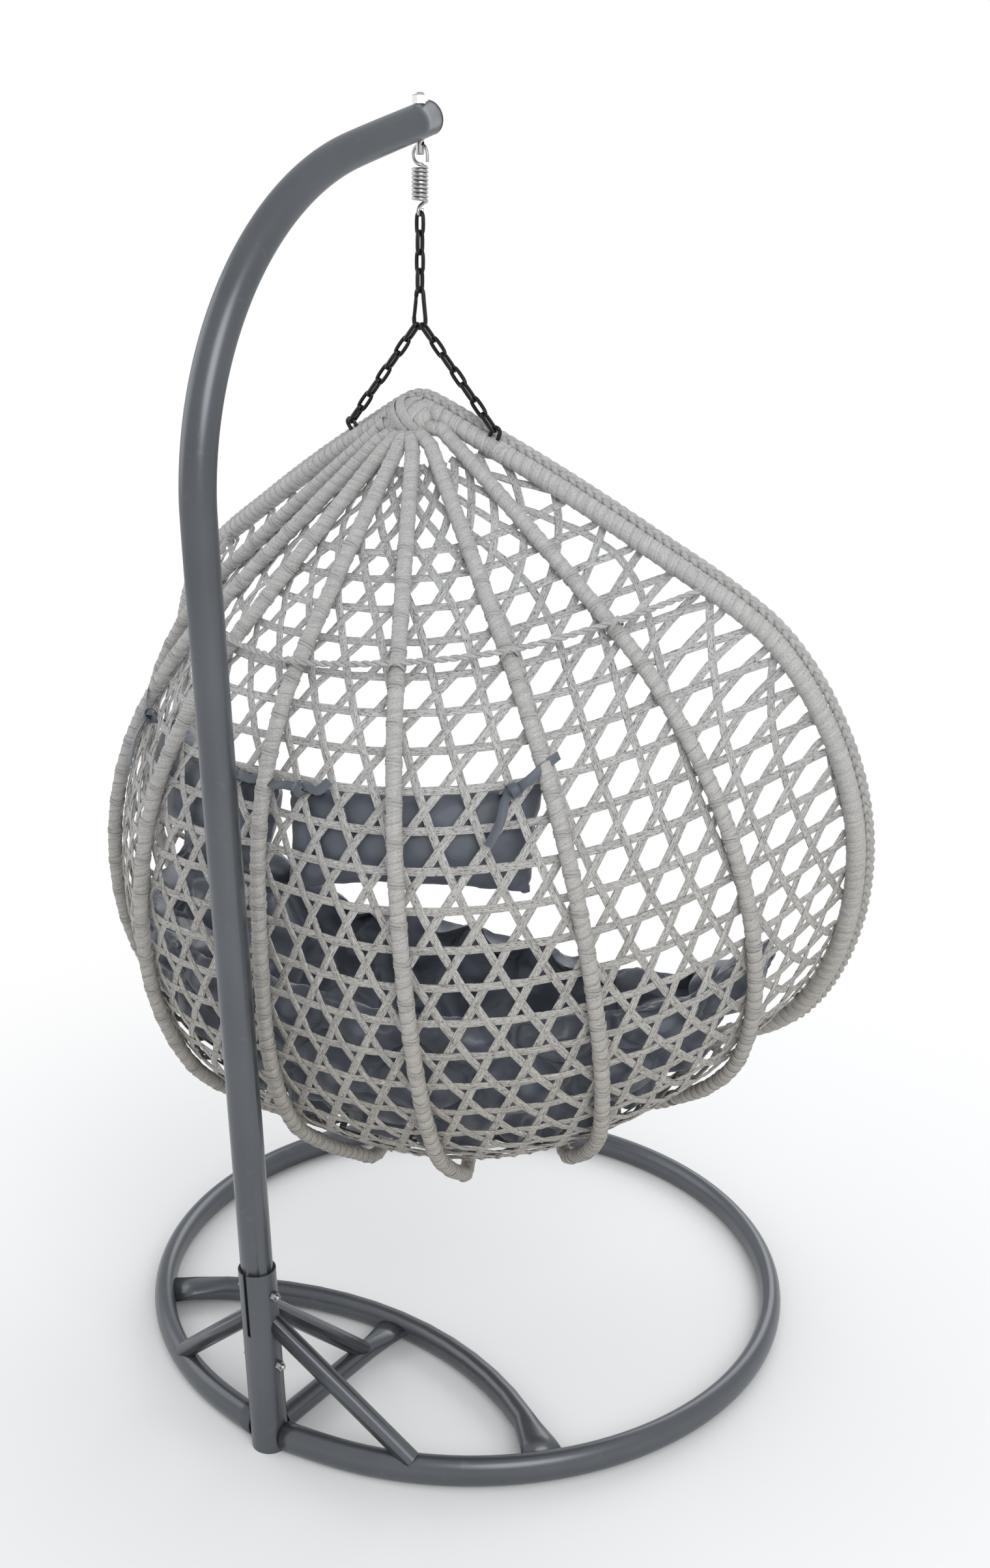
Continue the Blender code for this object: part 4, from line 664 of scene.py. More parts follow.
wrap_radius = RIB_D / 2 - WRAP_THICK * 0.5 - UNDER_SKIN
lean_axis = Vector((0.0, BASKET_LEAN, 1.0))
for number in range(1, 8):
    turn = (number - 4) * RIB_TURN
    across_rib = Vector((math.sin(turn), math.cos(turn), 0.0)).cross(lean_axis).normalized()
    course = rib_course(turn, 90)
    wraps = helix_round(course, wrap_radius, WRAP_PITCH, WRAP_THICK, WRAP_STEPS, across_rib, start=number)
    rib = lay("rib_%d_wrapping" % number, [wraps], WRAP_PITCH * WRAP_LAP, WRAP_THICK, wrapped_grey)
    ties = []
    height = LEVEL_FROM_Z
    while height > LEVEL_TO_Z:
        share = share_at_height(turn, height)
        centre = frame_point(share, turn)
        along = (frame_point(min(share + 0.01, 1.0), turn) - frame_point(share - 0.01, turn)).normalized()
        slant = (along + across_rib * TIE_SLANT).normalized()
        for step in (-0.5, 0.5):
            spot = centre + along * TIE_WIDE * 1.15 * step
            ties.append(band(spot, slant, RIB_D / 2 + UNDER_SKIN, across_rib))
        # the rows are even along the rib, so they are closer in height where it runs flat
        stretch = frame_point(min(share + 0.02, 1.0), turn) - frame_point(share - 0.02, turn)
        height -= ROW_PITCH * max(abs(stretch.z) / stretch.length, 0.25)
    rod = [(point, across_rib) for point in evenly(course, CORE_STEP)]
    rod_inside = lay("rib_core", [(rod, False)], RIB_D * RIB_CORE, RIB_D * RIB_CORE, wrapped_grey,
                     RIB_D * RIB_CORE_ROUND, CORE_CORNERS)
    joined(rib, rod_inside, lay("rib_ties", ties, TIE_WIDE, TIE_THICK, wrapped_grey))
    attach(rib, "basket")
    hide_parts("rib_%d" % number)

# ----------------------------------------------------------
# Rim.  The same binding on the thicker rod round the opening, with a broad band under each anchor loop, and
# a three-strand plait tacked along its outer front edge to cover the weave's ends.
# ----------------------------------------------------------
RIM_PITCH, RIM_THICK = 0.0155, 0.0013
RIM_STEPS, PLAIT_COURSE_STEPS = 24, 18
RIM_WRAP_STEPS, LOOP_BAND_POINTS = 16, 20
RIM_CORE, RIM_CORE_ROUND = 0.82, 0.409
PEAK_RISE = 0.0055
ANCHOR_X = 0.118
LOOP_BAND_WIDE, LOOP_BAND_OUT, LOOP_BAND_ABOVE_Z = 0.030, 0.0004, 1.3
BRAID_D = 0.013
BRAID_TURN = math.radians(50.0)         # the plait sits between the rim's outer side and its front
BRAID_LAY = 0.044                       # length of one full turn of the plait
BRAID_STEPS = 14
BRAID_STRAND = 0.0078
BRAID_THICK, BRAID_ROUND = 0.48, 0.20   # over the strand's width
BRAID_SWAY, BRAID_RISE = 0.30, 0.17     # over the plait's width
rim_front = Vector((0.0, -1.0, BASKET_LEAN)).normalized()


def rim_course(steps):
    """The rim's middle line: from the peak down one side, across the lip and up the other."""
    side = [frame_point(k / steps, RIM_TURN) for k in range(steps + 1)]
    lip = [Vector((x, basket_axis_y + y, z)) for x, y, z in RIM_LIP]
    mirrored = [Vector((-p.x, p.y, p.z)) for p in reversed(lip[:-1])]
    other = [Vector((-p.x, p.y, p.z)) for p in reversed(side)]
    bottom = curve_through([side[-2], side[-1], *lip, *mirrored, other[0], other[1]], 3)[3:-3]
    peak = Vector((0.0, side[0].y, side[0].z + PEAK_RISE))
    return [peak] + side[:-1] + bottom + other[1:]


def refined(path, spans):
    """A closed path with more points on the same smooth curve."""
    count = len(path)
    result = []
    for k in range(count):
        near = (path[k - 1], path[k], path[(k + 1) % count], path[(k + 2) % count])
        result += [smooth_between(*near, step / spans) for step in range(spans)]
    return result


rim_line = refined(rim_course(RIM_STEPS), 5)
rim_radius = RIM_D / 2 - RIM_THICK / 2 - UNDER_SKIN
rim_wraps = helix_round(rim_line, rim_radius, RIM_PITCH, RIM_THICK, RIM_WRAP_STEPS, rim_front,
                        closed=True)
rim_piece = lay("rim_wrapping", [rim_wraps], RIM_PITCH * WRAP_LAP, RIM_THICK, wrapped_grey)
rod = [(point, rim_front) for point in evenly(rim_line, CORE_STEP, True)]
rim_core = lay("rim_core", [(rod, True)], RIM_D * RIM_CORE, RIM_D * RIM_CORE, wrapped_grey,
               RIM_D * RIM_CORE_ROUND, CORE_CORNERS)
loop_bands = []
for anchor_x in (ANCHOR_X, -ANCHOR_X):
    for point, after in zip(rim_line, rim_line[1:] + rim_line[:1]):
        if point.z > LOOP_BAND_ABOVE_Z and (point.x - anchor_x) * (after.x - anchor_x) <= 0:
            way = (after - point).normalized()
            loop_bands.append(band(point, way, RIM_D / 2 + LOOP_BAND_OUT, rim_front,
                                   LOOP_BAND_POINTS))
joined(rim_piece, rim_core, lay("rim_bands", loop_bands, LOOP_BAND_WIDE, RIM_THICK, wrapped_grey))
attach(rim_piece, "basket")
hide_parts("basket_rim")

plait_line = []
plait_from = rim_course(PLAIT_COURSE_STEPS)
for point, along in zip(plait_from, ways(plait_from, True)):
    out = along.cross(rim_front).normalized()
    if out.dot(point - Vector((0.0, point.y, 1.0))) < 0:
        out = -out
    reach = (RIM_D + BRAID_D) / 2 * 1.03 + CLEAR
    plait_line.append(point + (out * math.cos(BRAID_TURN) + rim_front * math.sin(BRAID_TURN)) * reach)
plait_line = refined(plait_line, 6)
plait_length = closed_length(plait_line)
plait_turns = round(plait_length / BRAID_LAY)
plait_fine = evenly(plait_line, plait_length / (plait_turns * BRAID_STEPS), True)
runs = []
for strand in range(3):
    spots = []
    for k, (point, along) in enumerate(zip(plait_fine, ways(plait_fine, True))):
        out = along.cross(rim_front).normalized()
        a = math.tau * (k / BRAID_STEPS + strand / 3)
        flat = (rim_front * math.sin(BRAID_TURN) + out * math.cos(BRAID_TURN)).normalized()
        wide = along.cross(flat)
        spots.append((point + wide * math.sin(a) * (BRAID_D * BRAID_SWAY)
                      + flat * math.sin(2 * a) * (BRAID_D * BRAID_RISE), flat))
    runs.append((spots, True))
plait = lay("rim_plait", runs, BRAID_STRAND, BRAID_STRAND * BRAID_THICK, wrapped_grey,
            BRAID_STRAND * BRAID_ROUND)
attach(plait, "basket")
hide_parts("rim_braid")

# ----------------------------------------------------------
# Weave.  Three families of flat strand cross at sixty degrees and leave hexagon holes with small triangles
# between them.  Each strand goes over one family and under the other.  Level strands start below the peak.
# ----------------------------------------------------------
STRAND_WIDE, STRAND_THICK = 0.0112, 0.0016
CROSS_LIFT = 0.00095
WALL_SET_IN = 0.002
TOP_SHARE = 0.018
TOP_DROP = 0.050                        # how much lower the weave begins beside the rim
TOP_SPACING = 0.235                     # spacing over the basket's radius, near the peak
FOOT_FROM, FOOT_LIFT = 0.70, 0.008      # below this share the weave leaves the ribs' inner side
STEPS_A_ROW = 6
STRANDS_EACH_WAY = 46
PHASE = 0.25                            # sets the slanting strands midway between the level crossings
TABLE_STEPS = 900


def weave_point(share, turn, lift):
    """A point of the weave's middle surface, and its direction out; lift is outwards."""
    into = inward(share, turn)
    low = min(max((share - FOOT_FROM) / (1.0 - FOOT_FROM), 0.0), 1.0)
    deep = RIB_D / 2 + 2 * CLEAR + low * low * (3.0 - 2.0 * low) * FOOT_LIFT + WALL_SET_IN - lift
    return frame_point(share, turn) + into * deep, -into


def strand_spacing(radius):
    """The distance between strands of a family, which draw together where the basket narrows to its peak."""
    return (WEAVE_SPACING ** -8 + (TOP_SPACING * radius) ** -8) ** -0.125


# rows counted down the back: share, radius and row number
row_table = []
row_number = 0.0
was = None
for step in range(TABLE_STEPS + 1):
    share = TOP_SHARE + (1.0 - TOP_SHARE) * step / TABLE_STEPS
    radius, height = profile_at(BACK_PROFILE, share)
    spot = Vector((radius + BASKET_LEAN * height, height))
    if was is not None:
        row_number += (spot - was).length / (strand_spacing(radius) * math.sqrt(3.0) / 2)
    row_table.append((share, radius, row_number))
    was = spot
level_share = share_at_height(0.0, LEVEL_FROM_Z)
table_shares, table_radii, table_rows = np.array(row_table).T
table_rows = table_rows - min(row_table, key=lambda entry: abs(entry[0] - level_share))[2]
first_row, last_row = float(table_rows[0]), float(table_rows[-1])


def at_row(row):
    """Share and spacing over radius at a row number, down the back."""
    share = float(np.interp(row, table_rows, table_shares))
    radius = float(np.interp(row, table_rows, table_radii))
    return share, strand_spacing(radius) / radius


def weave_top(turn):
    """The share where the weave begins: right under the peak at the back, lower beside the rim."""
    return TOP_SHARE + TOP_DROP * (abs(turn) / RIM_TURN) ** 3


def slanting_spot(number, lean, row):
    """Share and turn of a slanting strand at a row."""
    share, cell = at_row(min(row, last_row))
    return share, cell * (number + lean * (row / 2 + PHASE))


def unbroken(spots):
    """Open runs from spots in a row, cut at each gap (None); a run of three spots or fewer is left out."""
    runs, run = [], []
    for spot in [*spots, None]:
        if spot:
            run.append(spot)
            continue
        if len(run) > 3:
            runs.append((run, False))
        run = []
    return runs


slanting = []
row_step = 1.0 / STEPS_A_ROW
for lean in (1, -1):
    for number in range(-STRANDS_EACH_WAY, STRANDS_EACH_WAY + 1):
        spots = [None]
        row = first_row
        while row <= last_row + 1e-6:
            share, turn = slanting_spot(number, lean, row)
            after = row + row_step
            rim_side = math.copysign(RIM_TURN, turn)
            if share < weave_top(turn):
                pass
            elif abs(turn) <= RIM_TURN:
                spots.append(weave_point(share, turn, -CROSS_LIFT * math.cos(math.tau * row) * lean))
            elif spots[-1]:
                # the strand has met the rim and ends on its rod
                spots += [(frame_point(share, rim_side), spots[-1][1]), None]
            elif after <= last_row and abs(slanting_spot(number, lean, after)[1]) <= RIM_TURN:
                # the next step is on the wall, so the strand starts here on the rim's rod
                spots.append((frame_point(share, rim_side), weave_point(share, rim_side * 0.99, 0.0)[1]))
            row = after
        slanting += unbroken(spots)
level_runs = []
for row in range(0, int(last_row) + 1):
    share, cell = at_row(row)
    count = int(RIM_TURN / cell * 2 * STEPS_A_ROW)
    spots = []
    for k in range(count + 1):
        turn = -RIM_TURN + 2 * RIM_TURN * k / count
        over = math.sin(math.tau * turn / cell) * (1 if row % 2 == 0 else -1)
        point, face = weave_point(share, turn, CROSS_LIFT * over)
        spots.append((frame_point(share, turn) if k in (0, count) else point, face))
    level_runs.append((spots, False))
weave_slant = lay("weave_slanting_strands", slanting, STRAND_WIDE, STRAND_THICK, woven_grey)
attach(weave_slant, "basket")
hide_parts("weave_left_front", "weave_left_back", "weave_right_back", "weave_right_front")
weave_level = lay("weave_level_strands", level_runs, STRAND_WIDE, STRAND_THICK, woven_grey)
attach(weave_level, "basket")

# ----------------------------------------------------------
# Woven floor.  The same weave laid flat under the cushion, hung from the foot of the wall and from the lip,
# with a pair of strands running round the foot where wall and floor are tied together.
# ----------------------------------------------------------
FOOT_TURN = math.radians(88.0)
FOOT_SHARES, FOOT_LAP, FOOT_HALF_STEPS = (0.975, 0.998), 0.0022, 48
FLOOR_STEP, FLOOR_HALF_STEPS, FLOOR_STRANDS = 0.009, 90, 26     # on each side of the pattern's middle
FLOOR_ROW_SLOPE = 0.866
FLOOR_MIDDLE_FROM_BACK = 0.3            # the pattern's middle, from the floor's lowest y
FLOOR_SET_DOWN = 0.002
ABOVE_ALL_Z = 2.0

floor_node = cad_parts["weave_floor"]
floor_surface = BVHTree.FromPolygons([v.co for v in floor_node.data.vertices],
                                     [f.vertices for f in floor_node.data.polygons])
floor_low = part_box("weave_floor")[0]
floor_runs = []
for lean in (1, -1, 0):                 # two slanting families, then the level one
    for number in range(-FLOOR_STRANDS, FLOOR_STRANDS + 1):
        spots = []
        for step in range(-FLOOR_HALF_STEPS, FLOOR_HALF_STEPS + 1):
            if lean:
                y = step * FLOOR_STEP * FLOOR_ROW_SLOPE
                x = WEAVE_SPACING * (number + lean * (y / ROW_PITCH / 2 + PHASE))
                over = -math.cos(math.tau * y / ROW_PITCH) * lean
            else:
                x, y = step * FLOOR_STEP, number * ROW_PITCH
                over = math.sin(math.tau * x / WEAVE_SPACING) * (1 if number % 2 == 0 else -1)
            above = Vector((x, y + floor_low.y + FLOOR_MIDDLE_FROM_BACK, ABOVE_ALL_Z))
            hit, normal, _, _ = floor_surface.ray_cast(above, Vector((0, 0, -1)))
            if hit is None:
                spots.append(None)
            else:
                spots.append((hit + Vector((0.0, 0.0, CROSS_LIFT * over - FLOOR_SET_DOWN)),
                              normal if normal.z > 0 else -normal))
        floor_runs += unbroken(spots)
for share in FOOT_SHARES:
    foot = [weave_point(share, FOOT_TURN * (k / FOOT_HALF_STEPS - 1), FOOT_LAP * math.cos(math.pi * k))
            for k in range(2 * FOOT_HALF_STEPS + 1)]
    floor_runs.append((foot, False))
weave_floor = lay("weave_floor_strands", floor_runs, STRAND_WIDE, STRAND_THICK, woven_grey)
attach(weave_floor, "basket")
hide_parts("weave_floor")

# ----------------------------------------------------------
# Belt.  Two strands twisted round each other, tied across the outside of the ribs from rim to rim, with a
# short binding on each rib.  It keeps the ribs at their distance.
# ----------------------------------------------------------
BELT_D = 0.0095
BELT_HEIGHTS = (1.180, 1.190, 1.207, 1.238, 1.285)
BELT_LAY, BELT_STEPS = 0.030, 14
BELT_STRAND = (0.58, 0.50, 0.22, 0.235)     # width, thickness, rounding and offset over the belt's diameter
BELT_TIE_WIDE, BELT_TIE_SLANT = 0.0062, 0.38
BELT_TIE_DEEP, BELT_TIE_ACROSS, BELT_TIE_POINTS = 0.515, 0.56, 20   # half sizes over rib and belt, and rib
belt_out = (RIB_D + BELT_D) / 2 + CLEAR
corners = []
for k in range(-4, 5):
    turn = max(-RIM_TURN, min(RIM_TURN, k * RIB_TURN))
    share = share_at_height(turn, BELT_HEIGHTS[abs(k)])
    corners.append(frame_point(share, turn) - inward(share, turn) * (belt_out if abs(k) < 4 else 0.0))
belt_line = evenly(curve_through(corners, 12), BELT_LAY / BELT_STEPS)
wide, thick, rounding, offset = [BELT_D * share for share in BELT_STRAND]
runs = []
for strand in range(2):
    spots = []
    for k, (point, along) in enumerate(zip(belt_line, ways(belt_line, False))):
        side = Vector((0.0, 0.0, 1.0)) - along * along.z
        side.normalize()
        a = math.tau * k / BELT_STEPS + math.pi * strand
        out = side * math.cos(a) + along.cross(side) * math.sin(a)
        spots.append((point + out * offset, out))
    runs.append((spots, False))
belt = lay("belt_twist", runs, wide, thick, wrapped_grey, rounding, 2)
bindings = []
deep, wide = (RIB_D + BELT_D) * BELT_TIE_DEEP, RIB_D * BELT_TIE_ACROSS
for k in range(-3, 4):
    turn = k * RIB_TURN
    share = share_at_height(turn, BELT_HEIGHTS[abs(k)])
    rib_way = (frame_point(share + 0.01, turn) - frame_point(share - 0.01, turn)).normalized()
    belt_way = (corners[k + 5] - corners[k + 3]).normalized()
    middle = frame_point(share, turn).lerp(corners[k + 4], 0.30)
    side = inward(share, turn)
    for slant in (BELT_TIE_SLANT, -BELT_TIE_SLANT):
        other = (rib_way + belt_way * slant).normalized().cross(side).normalized()
        bindings.append(([(middle + side * math.cos(a) * deep + other * math.sin(a) * wide,
                           (side * math.cos(a) / deep + other * math.sin(a) / wide).normalized())
                          for a in (math.tau * n / BELT_TIE_POINTS for n in range(BELT_TIE_POINTS))],
                         True))
joined(belt, lay("belt_bindings", bindings, BELT_TIE_WIDE, TIE_THICK, wrapped_grey))
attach(belt, "basket")
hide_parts("belt_wire")

# ----------------------------------------------------------
# Peak.  The ribs run in under the rim and are bound to it with flat strand, which goes round the rod in
# close turns and then crosses over itself on both slants.
# ----------------------------------------------------------
PEAK_SIZE = Vector((0.035, 0.029, 0.026))
PEAK_FROM_RIM = Vector((0.0, 0.012, -0.009))
PEAK_STRAND, PEAK_THICK = 0.0135, 0.0016
PEAK_LAYER = 0.0013                     # each layer of turns lies this far out on the one before
CORE_SET_IN = 0.0008
PEAK_TURN_POINTS = 36
# each turn's axis, its place along that axis, and its layer
PEAK_TURNS = [((1.0, 0.0, 0.0), place, 0) for place in (-0.026, -0.014, -0.002, 0.012, 0.025)]
PEAK_TURNS += [((0.80, 0.10, 0.58), place, 1) for place in (-0.008, 0.008)]
PEAK_TURNS += [((0.80, 0.10, -0.58), place, 2) for place in (-0.006, 0.010)]


def times_each(first, second):
    """Two vectors multiplied part by part."""
    return Vector([a * b for a, b in zip(first, second)])


rim_top = frame_point(0.0, RIM_TURN)
peak_centre = Vector((0.0, rim_top.y, rim_top.z)) + PEAK_FROM_RIM
runs = []
for axis, place, layer in PEAK_TURNS:
    lift = PEAK_LAYER * layer
    size = PEAK_SIZE + Vector((lift, lift, lift))
    scaled = times_each(Vector(axis).normalized(), size)
    height = place / scaled.length
    pole = scaled.normalized()
    first = pole.orthogonal().normalized()
    second = pole.cross(first)
    reach = math.sqrt(1.0 - height * height)
    spots = []
    for k in range(PEAK_TURN_POINTS):
        a = math.tau * k / PEAK_TURN_POINTS
        on_ball = pole * height + (first * math.cos(a) + second * math.sin(a)) * reach
        face = Vector([q / s for q, s in zip(on_ball, size)]).normalized()
        spots.append((peak_centre + times_each(on_ball, size), face))
    runs.append((spots, True))
peak = lay("peak_binding_strands", runs, PEAK_STRAND, PEAK_THICK, wrapped_grey)
ball = bmesh.new()
bmesh.ops.create_uvsphere(ball, u_segments=32, v_segments=18, radius=1.0)
for vert in ball.verts:
    vert.co = peak_centre + Vector([q * (s - CORE_SET_IN) for q, s in zip(vert.co, PEAK_SIZE)])
peak_core = shape_object("peak_core", ball)
core_mesh = peak_core.data
core_mesh.shade_smooth()
core_mesh.materials.append(wrapped_grey)
for label, size, axis in (("along", 1.0, 0), ("across", 60.0, 1), ("strand", 0.0, 2)):
    values = [vert.co[axis] * size for vert in core_mesh.vertices]
    core_mesh.attributes.new(label, "FLOAT", "POINT").data.foreach_set("value", values)
joined(peak, peak_core)
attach(peak, "basket")
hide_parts("peak_binding")

# ----------------------------------------------------------
# Seat cushion.  A bowl of slate polyester satin, filled with fibre and tufted through in staggered rows, so
# it swells in mounds between the tufts and puckers at them.  It lies loose in the foot of the basket.
# ----------------------------------------------------------
CLOTH_COLOUR, CLOTH_WORN = (0.078, 0.090, 0.112, 1.0), (0.120, 0.133, 0.160, 1.0)
THREAD_SCALE = 520.0
SEAT_VOXEL, SEAT_SOFTEN = 0.0085, 12
MOUND_TURN = math.radians(15.5)
MOUND_HEIGHTS = (0.700, 0.595, 0.500)   # rows of mounds round the bowl
MOUND_DEPTHS = (0.020, 0.085)           # a seed at each of the bowl's two skins, from the frame surface
BOWL_TURN = math.radians(92.0)
SEAT_MOUND_WIDE, MOUND_ROW = 0.125, 0.115
SEAT_SKINS_Z = (0.47, 0.385)
MOUND_CREASE, MOUND_PUFF = 0.013, 0.030     # how far from a border the crease and the puff reach
PUFF_OUT, CREASE_IN, CREASE_VARY, SKIN_IN = 0.008, 0.024, 0.008, 0.006
SEAT_CAP = 0.026                        # most that the cloth may move as it fills
SEAT_PRESSURE, SEAT_SLACK = 5.0, 0.07
SEAT_HELD_FROM = 0.80                   # creases deeper than this are sewn through and stay
WOBBLE_SCALE = 14.0
FRONT_RISE = 0.036                      # the front mounds stand up behind the lip
FRONT_FROM, FRONT_OVER = 0.02, 0.16     # where that starts in front of the middle, and its run
FRONT_FROM_Z, FRONT_OVER_Z = 0.45, 0.07
WALL_CLEAR, WALL_REACH = 0.0045, 0.10


def satin_cloth():
    """Slate polyester: a fine plain weave, a soft sheen, and a slight clouding where the fibre shows."""
    finish, tree, shader = new_finish("slate_cloth")
    where = put(tree, "ShaderNodeTexCoord", {}).outputs["Object"]
    cloud = put(tree, "ShaderNodeTexNoise", {"Vector": where, "Scale": 9.0, "Detail": 6.0})
    spread = put(tree, "ShaderNodeMapRange", {"Value": cloud, "From Min": 0.35, "From Max": 0.75})
    tint = put(tree, "ShaderNodeMix", {"Factor": spread, "A": CLOTH_COLOUR, "B": CLOTH_WORN},
               data_type="RGBA")
    threads = [put(tree, "ShaderNodeTexWave", {"Vector": where, "Scale": THREAD_SCALE, "Distortion": 0.6,
                                               "Detail": 1.0}, bands_direction=axis).outputs["Fac"]
               for axis in "XYZ"]
    two = put(tree, "ShaderNodeMath", {0: threads[0], 1: threads[1]}, operation="ADD")
    weave = put(tree, "ShaderNodeMath", {0: two, 1: threads[2]}, operation="ADD")
    fold = put(tree, "ShaderNodeTexNoise", {"Vector": where, "Scale": 34.0, "Detail": 3.0,
                                            "Distortion": 0.8})
    soft = put(tree, "ShaderNodeBump", {"Height": fold, "Strength": 0.35, "Distance": 0.004})
    fine = put(tree, "ShaderNodeBump", {"Height": weave, "Normal": soft, "Strength": 0.35,
                                        "Distance": 0.00012})
    feed(tree, shader, {"Base Color": tint, "Normal": fine, "Roughness": 0.34, "Specular IOR Level": 0.55,
                        "Sheen Weight": 0.35, "Sheen Roughness": 0.35})
    return finish


slate_cloth = satin_cloth()


def remeshed(name, cad_name, voxel, soften):
    """A CAD cushion as one even skin without its facets, ready for the cloth."""
    shape = cad_shape(cad_name)
    bmesh.ops.recalc_face_normals(shape, faces=shape.faces)
    piece = shape_object(name, shape)
    even = piece.modifiers.new("even", "REMESH")
    even.mode = "VOXEL"
    even.voxel_size = voxel
    soft = piece.modifiers.new("soft", "SMOOTH")
    soft.factor = 0.5
    soft.iterations = soften
    applied(piece)
    return piece


def swell(piece, held, pressure, slack, cap, steps=20):
    """Blows the cloth skin up a little while the held points stay, and limits how far it moves."""
    before = values_of(piece.data, "co")
    group = piece.vertex_groups.new(name="held")
    group.add([int(index) for index in np.nonzero(held)[0]], 1.0, "REPLACE")
    cloth = piece.modifiers.new("cloth", "CLOTH")
    for setting, value in (("quality", 4), ("mass", 0.25), ("tension_stiffness", 12.0),
                           ("compression_stiffness", 8.0), ("shear_stiffness", 4.0),
                           ("bending_stiffness", 0.4), ("vertex_group_mass", "held"), ("pin_stiffness", 1.0),
                           ("use_pressure", True), ("uniform_pressure_force", pressure),
                           ("shrink_min", -slack)):
        setattr(cloth.settings, setting, value)
    cloth.settings.effector_weights.gravity = 0.0
    cloth.collision_settings.use_collision = False
    cloth.collision_settings.use_self_collision = False
    cloth.point_cache.frame_end = steps
    for step in range(1, steps + 1):
        bpy.context.scene.frame_set(step)
    moved = values_of(applied(piece), "co") - before
    bpy.context.scene.frame_set(1)
    keep = np.minimum(1.0, cap / np.maximum(np.linalg.norm(moved, axis=1), 1e-9))
    move_to(piece.data, before + moved * keep[:, None])


def wall_skin(deep):
    """The woven wall's inner side as a surface, with its directions into the basket."""
    verts, faces, into = [], [], []
    rows, cols = 40, 72
    for r in range(rows + 1):
        share = 0.02 + 0.98 * r / rows
        for c in range(cols + 1):
            point, face = weave_point(share, RIM_TURN * (2 * c / cols - 1), 0.0)
            verts.append(point - face * deep)
            into.append(-face)
    for r in range(rows):
        for c in range(cols):
            k = r * (cols + 1) + c
            faces.append((k, k + 1, k + cols + 2, k + cols + 1))
    return BVHTree.FromPolygons(verts, faces), faces, into


def keep_inside(piece, skin):
    """Pushes back the points of a pad that would come through the weave."""
    surface, faces, into = skin
    spots = values_of(piece.data, "co")
    for k, spot in enumerate(spots):
        point = Vector(spot)
        near, _, index, _ = surface.find_nearest(point, WALL_REACH)
        if near is not None:
            aim = into[faces[index][0]]
            depth = (point - near).dot(aim)
            if depth < 0.0:
                spots[k] = point - aim * depth
    move_to(piece.data, spots)


def finish_pad(piece, cad_name):
    """One subdivision, then the pad rides with the basket and stands for its CAD solid."""
    subdivided(piece, 1, slate_cloth)
    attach(piece, "basket")
    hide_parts(cad_name)


def mound_seeds(middle_y):
    """Middles of the mounds on both skins: staggered rows round the bowl, then rows on the seat."""
    seeds = []
    for row, height in enumerate(MOUND_HEIGHTS):
        for number in range(-6, 7):
            turn = (number + row % 2 * 0.5) * MOUND_TURN
            if abs(turn) <= BOWL_TURN:
                share = share_at_height(turn, height)
                seeds += [frame_point(share, turn) + inward(share, turn) * deep for deep in MOUND_DEPTHS]
    for row in range(-4, 5):
        for number in range(-5, 6):
            x = (number + row % 2 * 0.5) * SEAT_MOUND_WIDE
            seeds += [Vector((x, middle_y + row * MOUND_ROW, z)) for z in SEAT_SKINS_Z]
    return np.array([list(seed) for seed in seeds])


seat_low, seat_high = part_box("seat_cushion")
seat_middle_y = (seat_low.y + seat_high.y) / 2
seat = remeshed("seat_pad", "seat_cushion", SEAT_VOXEL, SEAT_SOFTEN)
spots = values_of(seat.data, "co")
seeds = mound_seeds(seat_middle_y)
border = np.empty(len(spots))           # distance to the nearest border between two mounds
for first in range(0, len(spots), 4000):
    gaps = np.linalg.norm(spots[first:first + 4000, None, :] - seeds[None, :, :], axis=2)
    gaps.sort(axis=1)
    border[first:first + 4000] = (gaps[:, 1] - gaps[:, 0]) / 2
crease = np.exp(-(border / MOUND_CREASE) ** 2)
puff = 1.0 - np.exp(-(border / MOUND_PUFF) ** 1.5)
wobble = np.array([noise(Vector(spot) * WOBBLE_SCALE) for spot in spots])
out = puff * PUFF_OUT - crease * (CREASE_IN + CREASE_VARY * wobble) - SKIN_IN
spots = spots + values_of(seat.data, "normal") * out[:, None]
front = np.clip((seat_middle_y - FRONT_FROM - spots[:, 1]) / FRONT_OVER, 0.0, 1.0)
upper = np.clip((spots[:, 2] - FRONT_FROM_Z) / FRONT_OVER_Z, 0.0, 1.0)
spots[:, 2] += FRONT_RISE * front * front * (3 - 2 * front) * upper
move_to(seat.data, spots)
swell(seat, crease > SEAT_HELD_FROM, SEAT_PRESSURE, SEAT_SLACK, SEAT_CAP)
wall = wall_skin(WALL_CLEAR)
keep_inside(seat, wall)
finish_pad(seat, "seat_cushion")

# ----------------------------------------------------------
# Head pillows.  Two flat fibre pillows of the same cloth, tied to the weave by a ribbon at each upper
# corner.  Their sides are drawn in and their corners stand out.
# ----------------------------------------------------------
PILLOW_VOXEL, PILLOW_SOFTEN = 0.005, 4
PILLOW_TURN, PILLOW_Z = math.radians(24.5), 0.965
PILLOW_HALF_LONG, PILLOW_HALF_TALL = 0.175, 0.085
PILLOW_CAP = 0.014
PILLOW_PRESSURE, PILLOW_SLACK = 3.0, 0.05
PILLOW_HELD_FROM = 0.985                # the seam runs this far out
PILLOW_UP = 0.024                       # the pillow sits this far up the wall from its CAD solid
PILLOW_TALL, PILLOW_THICK = 0.88, 0.92  # over the CAD solid's
PILLOW_IN = 0.006
PILLOW_SLANT = 0.060
FOOT_DRAWN_IN = 0.05
WRINKLE = 0.0032
WRINKLE_ALONG, WRINKLE_UP = 26.0, 11.0  # how close the wrinkles lie


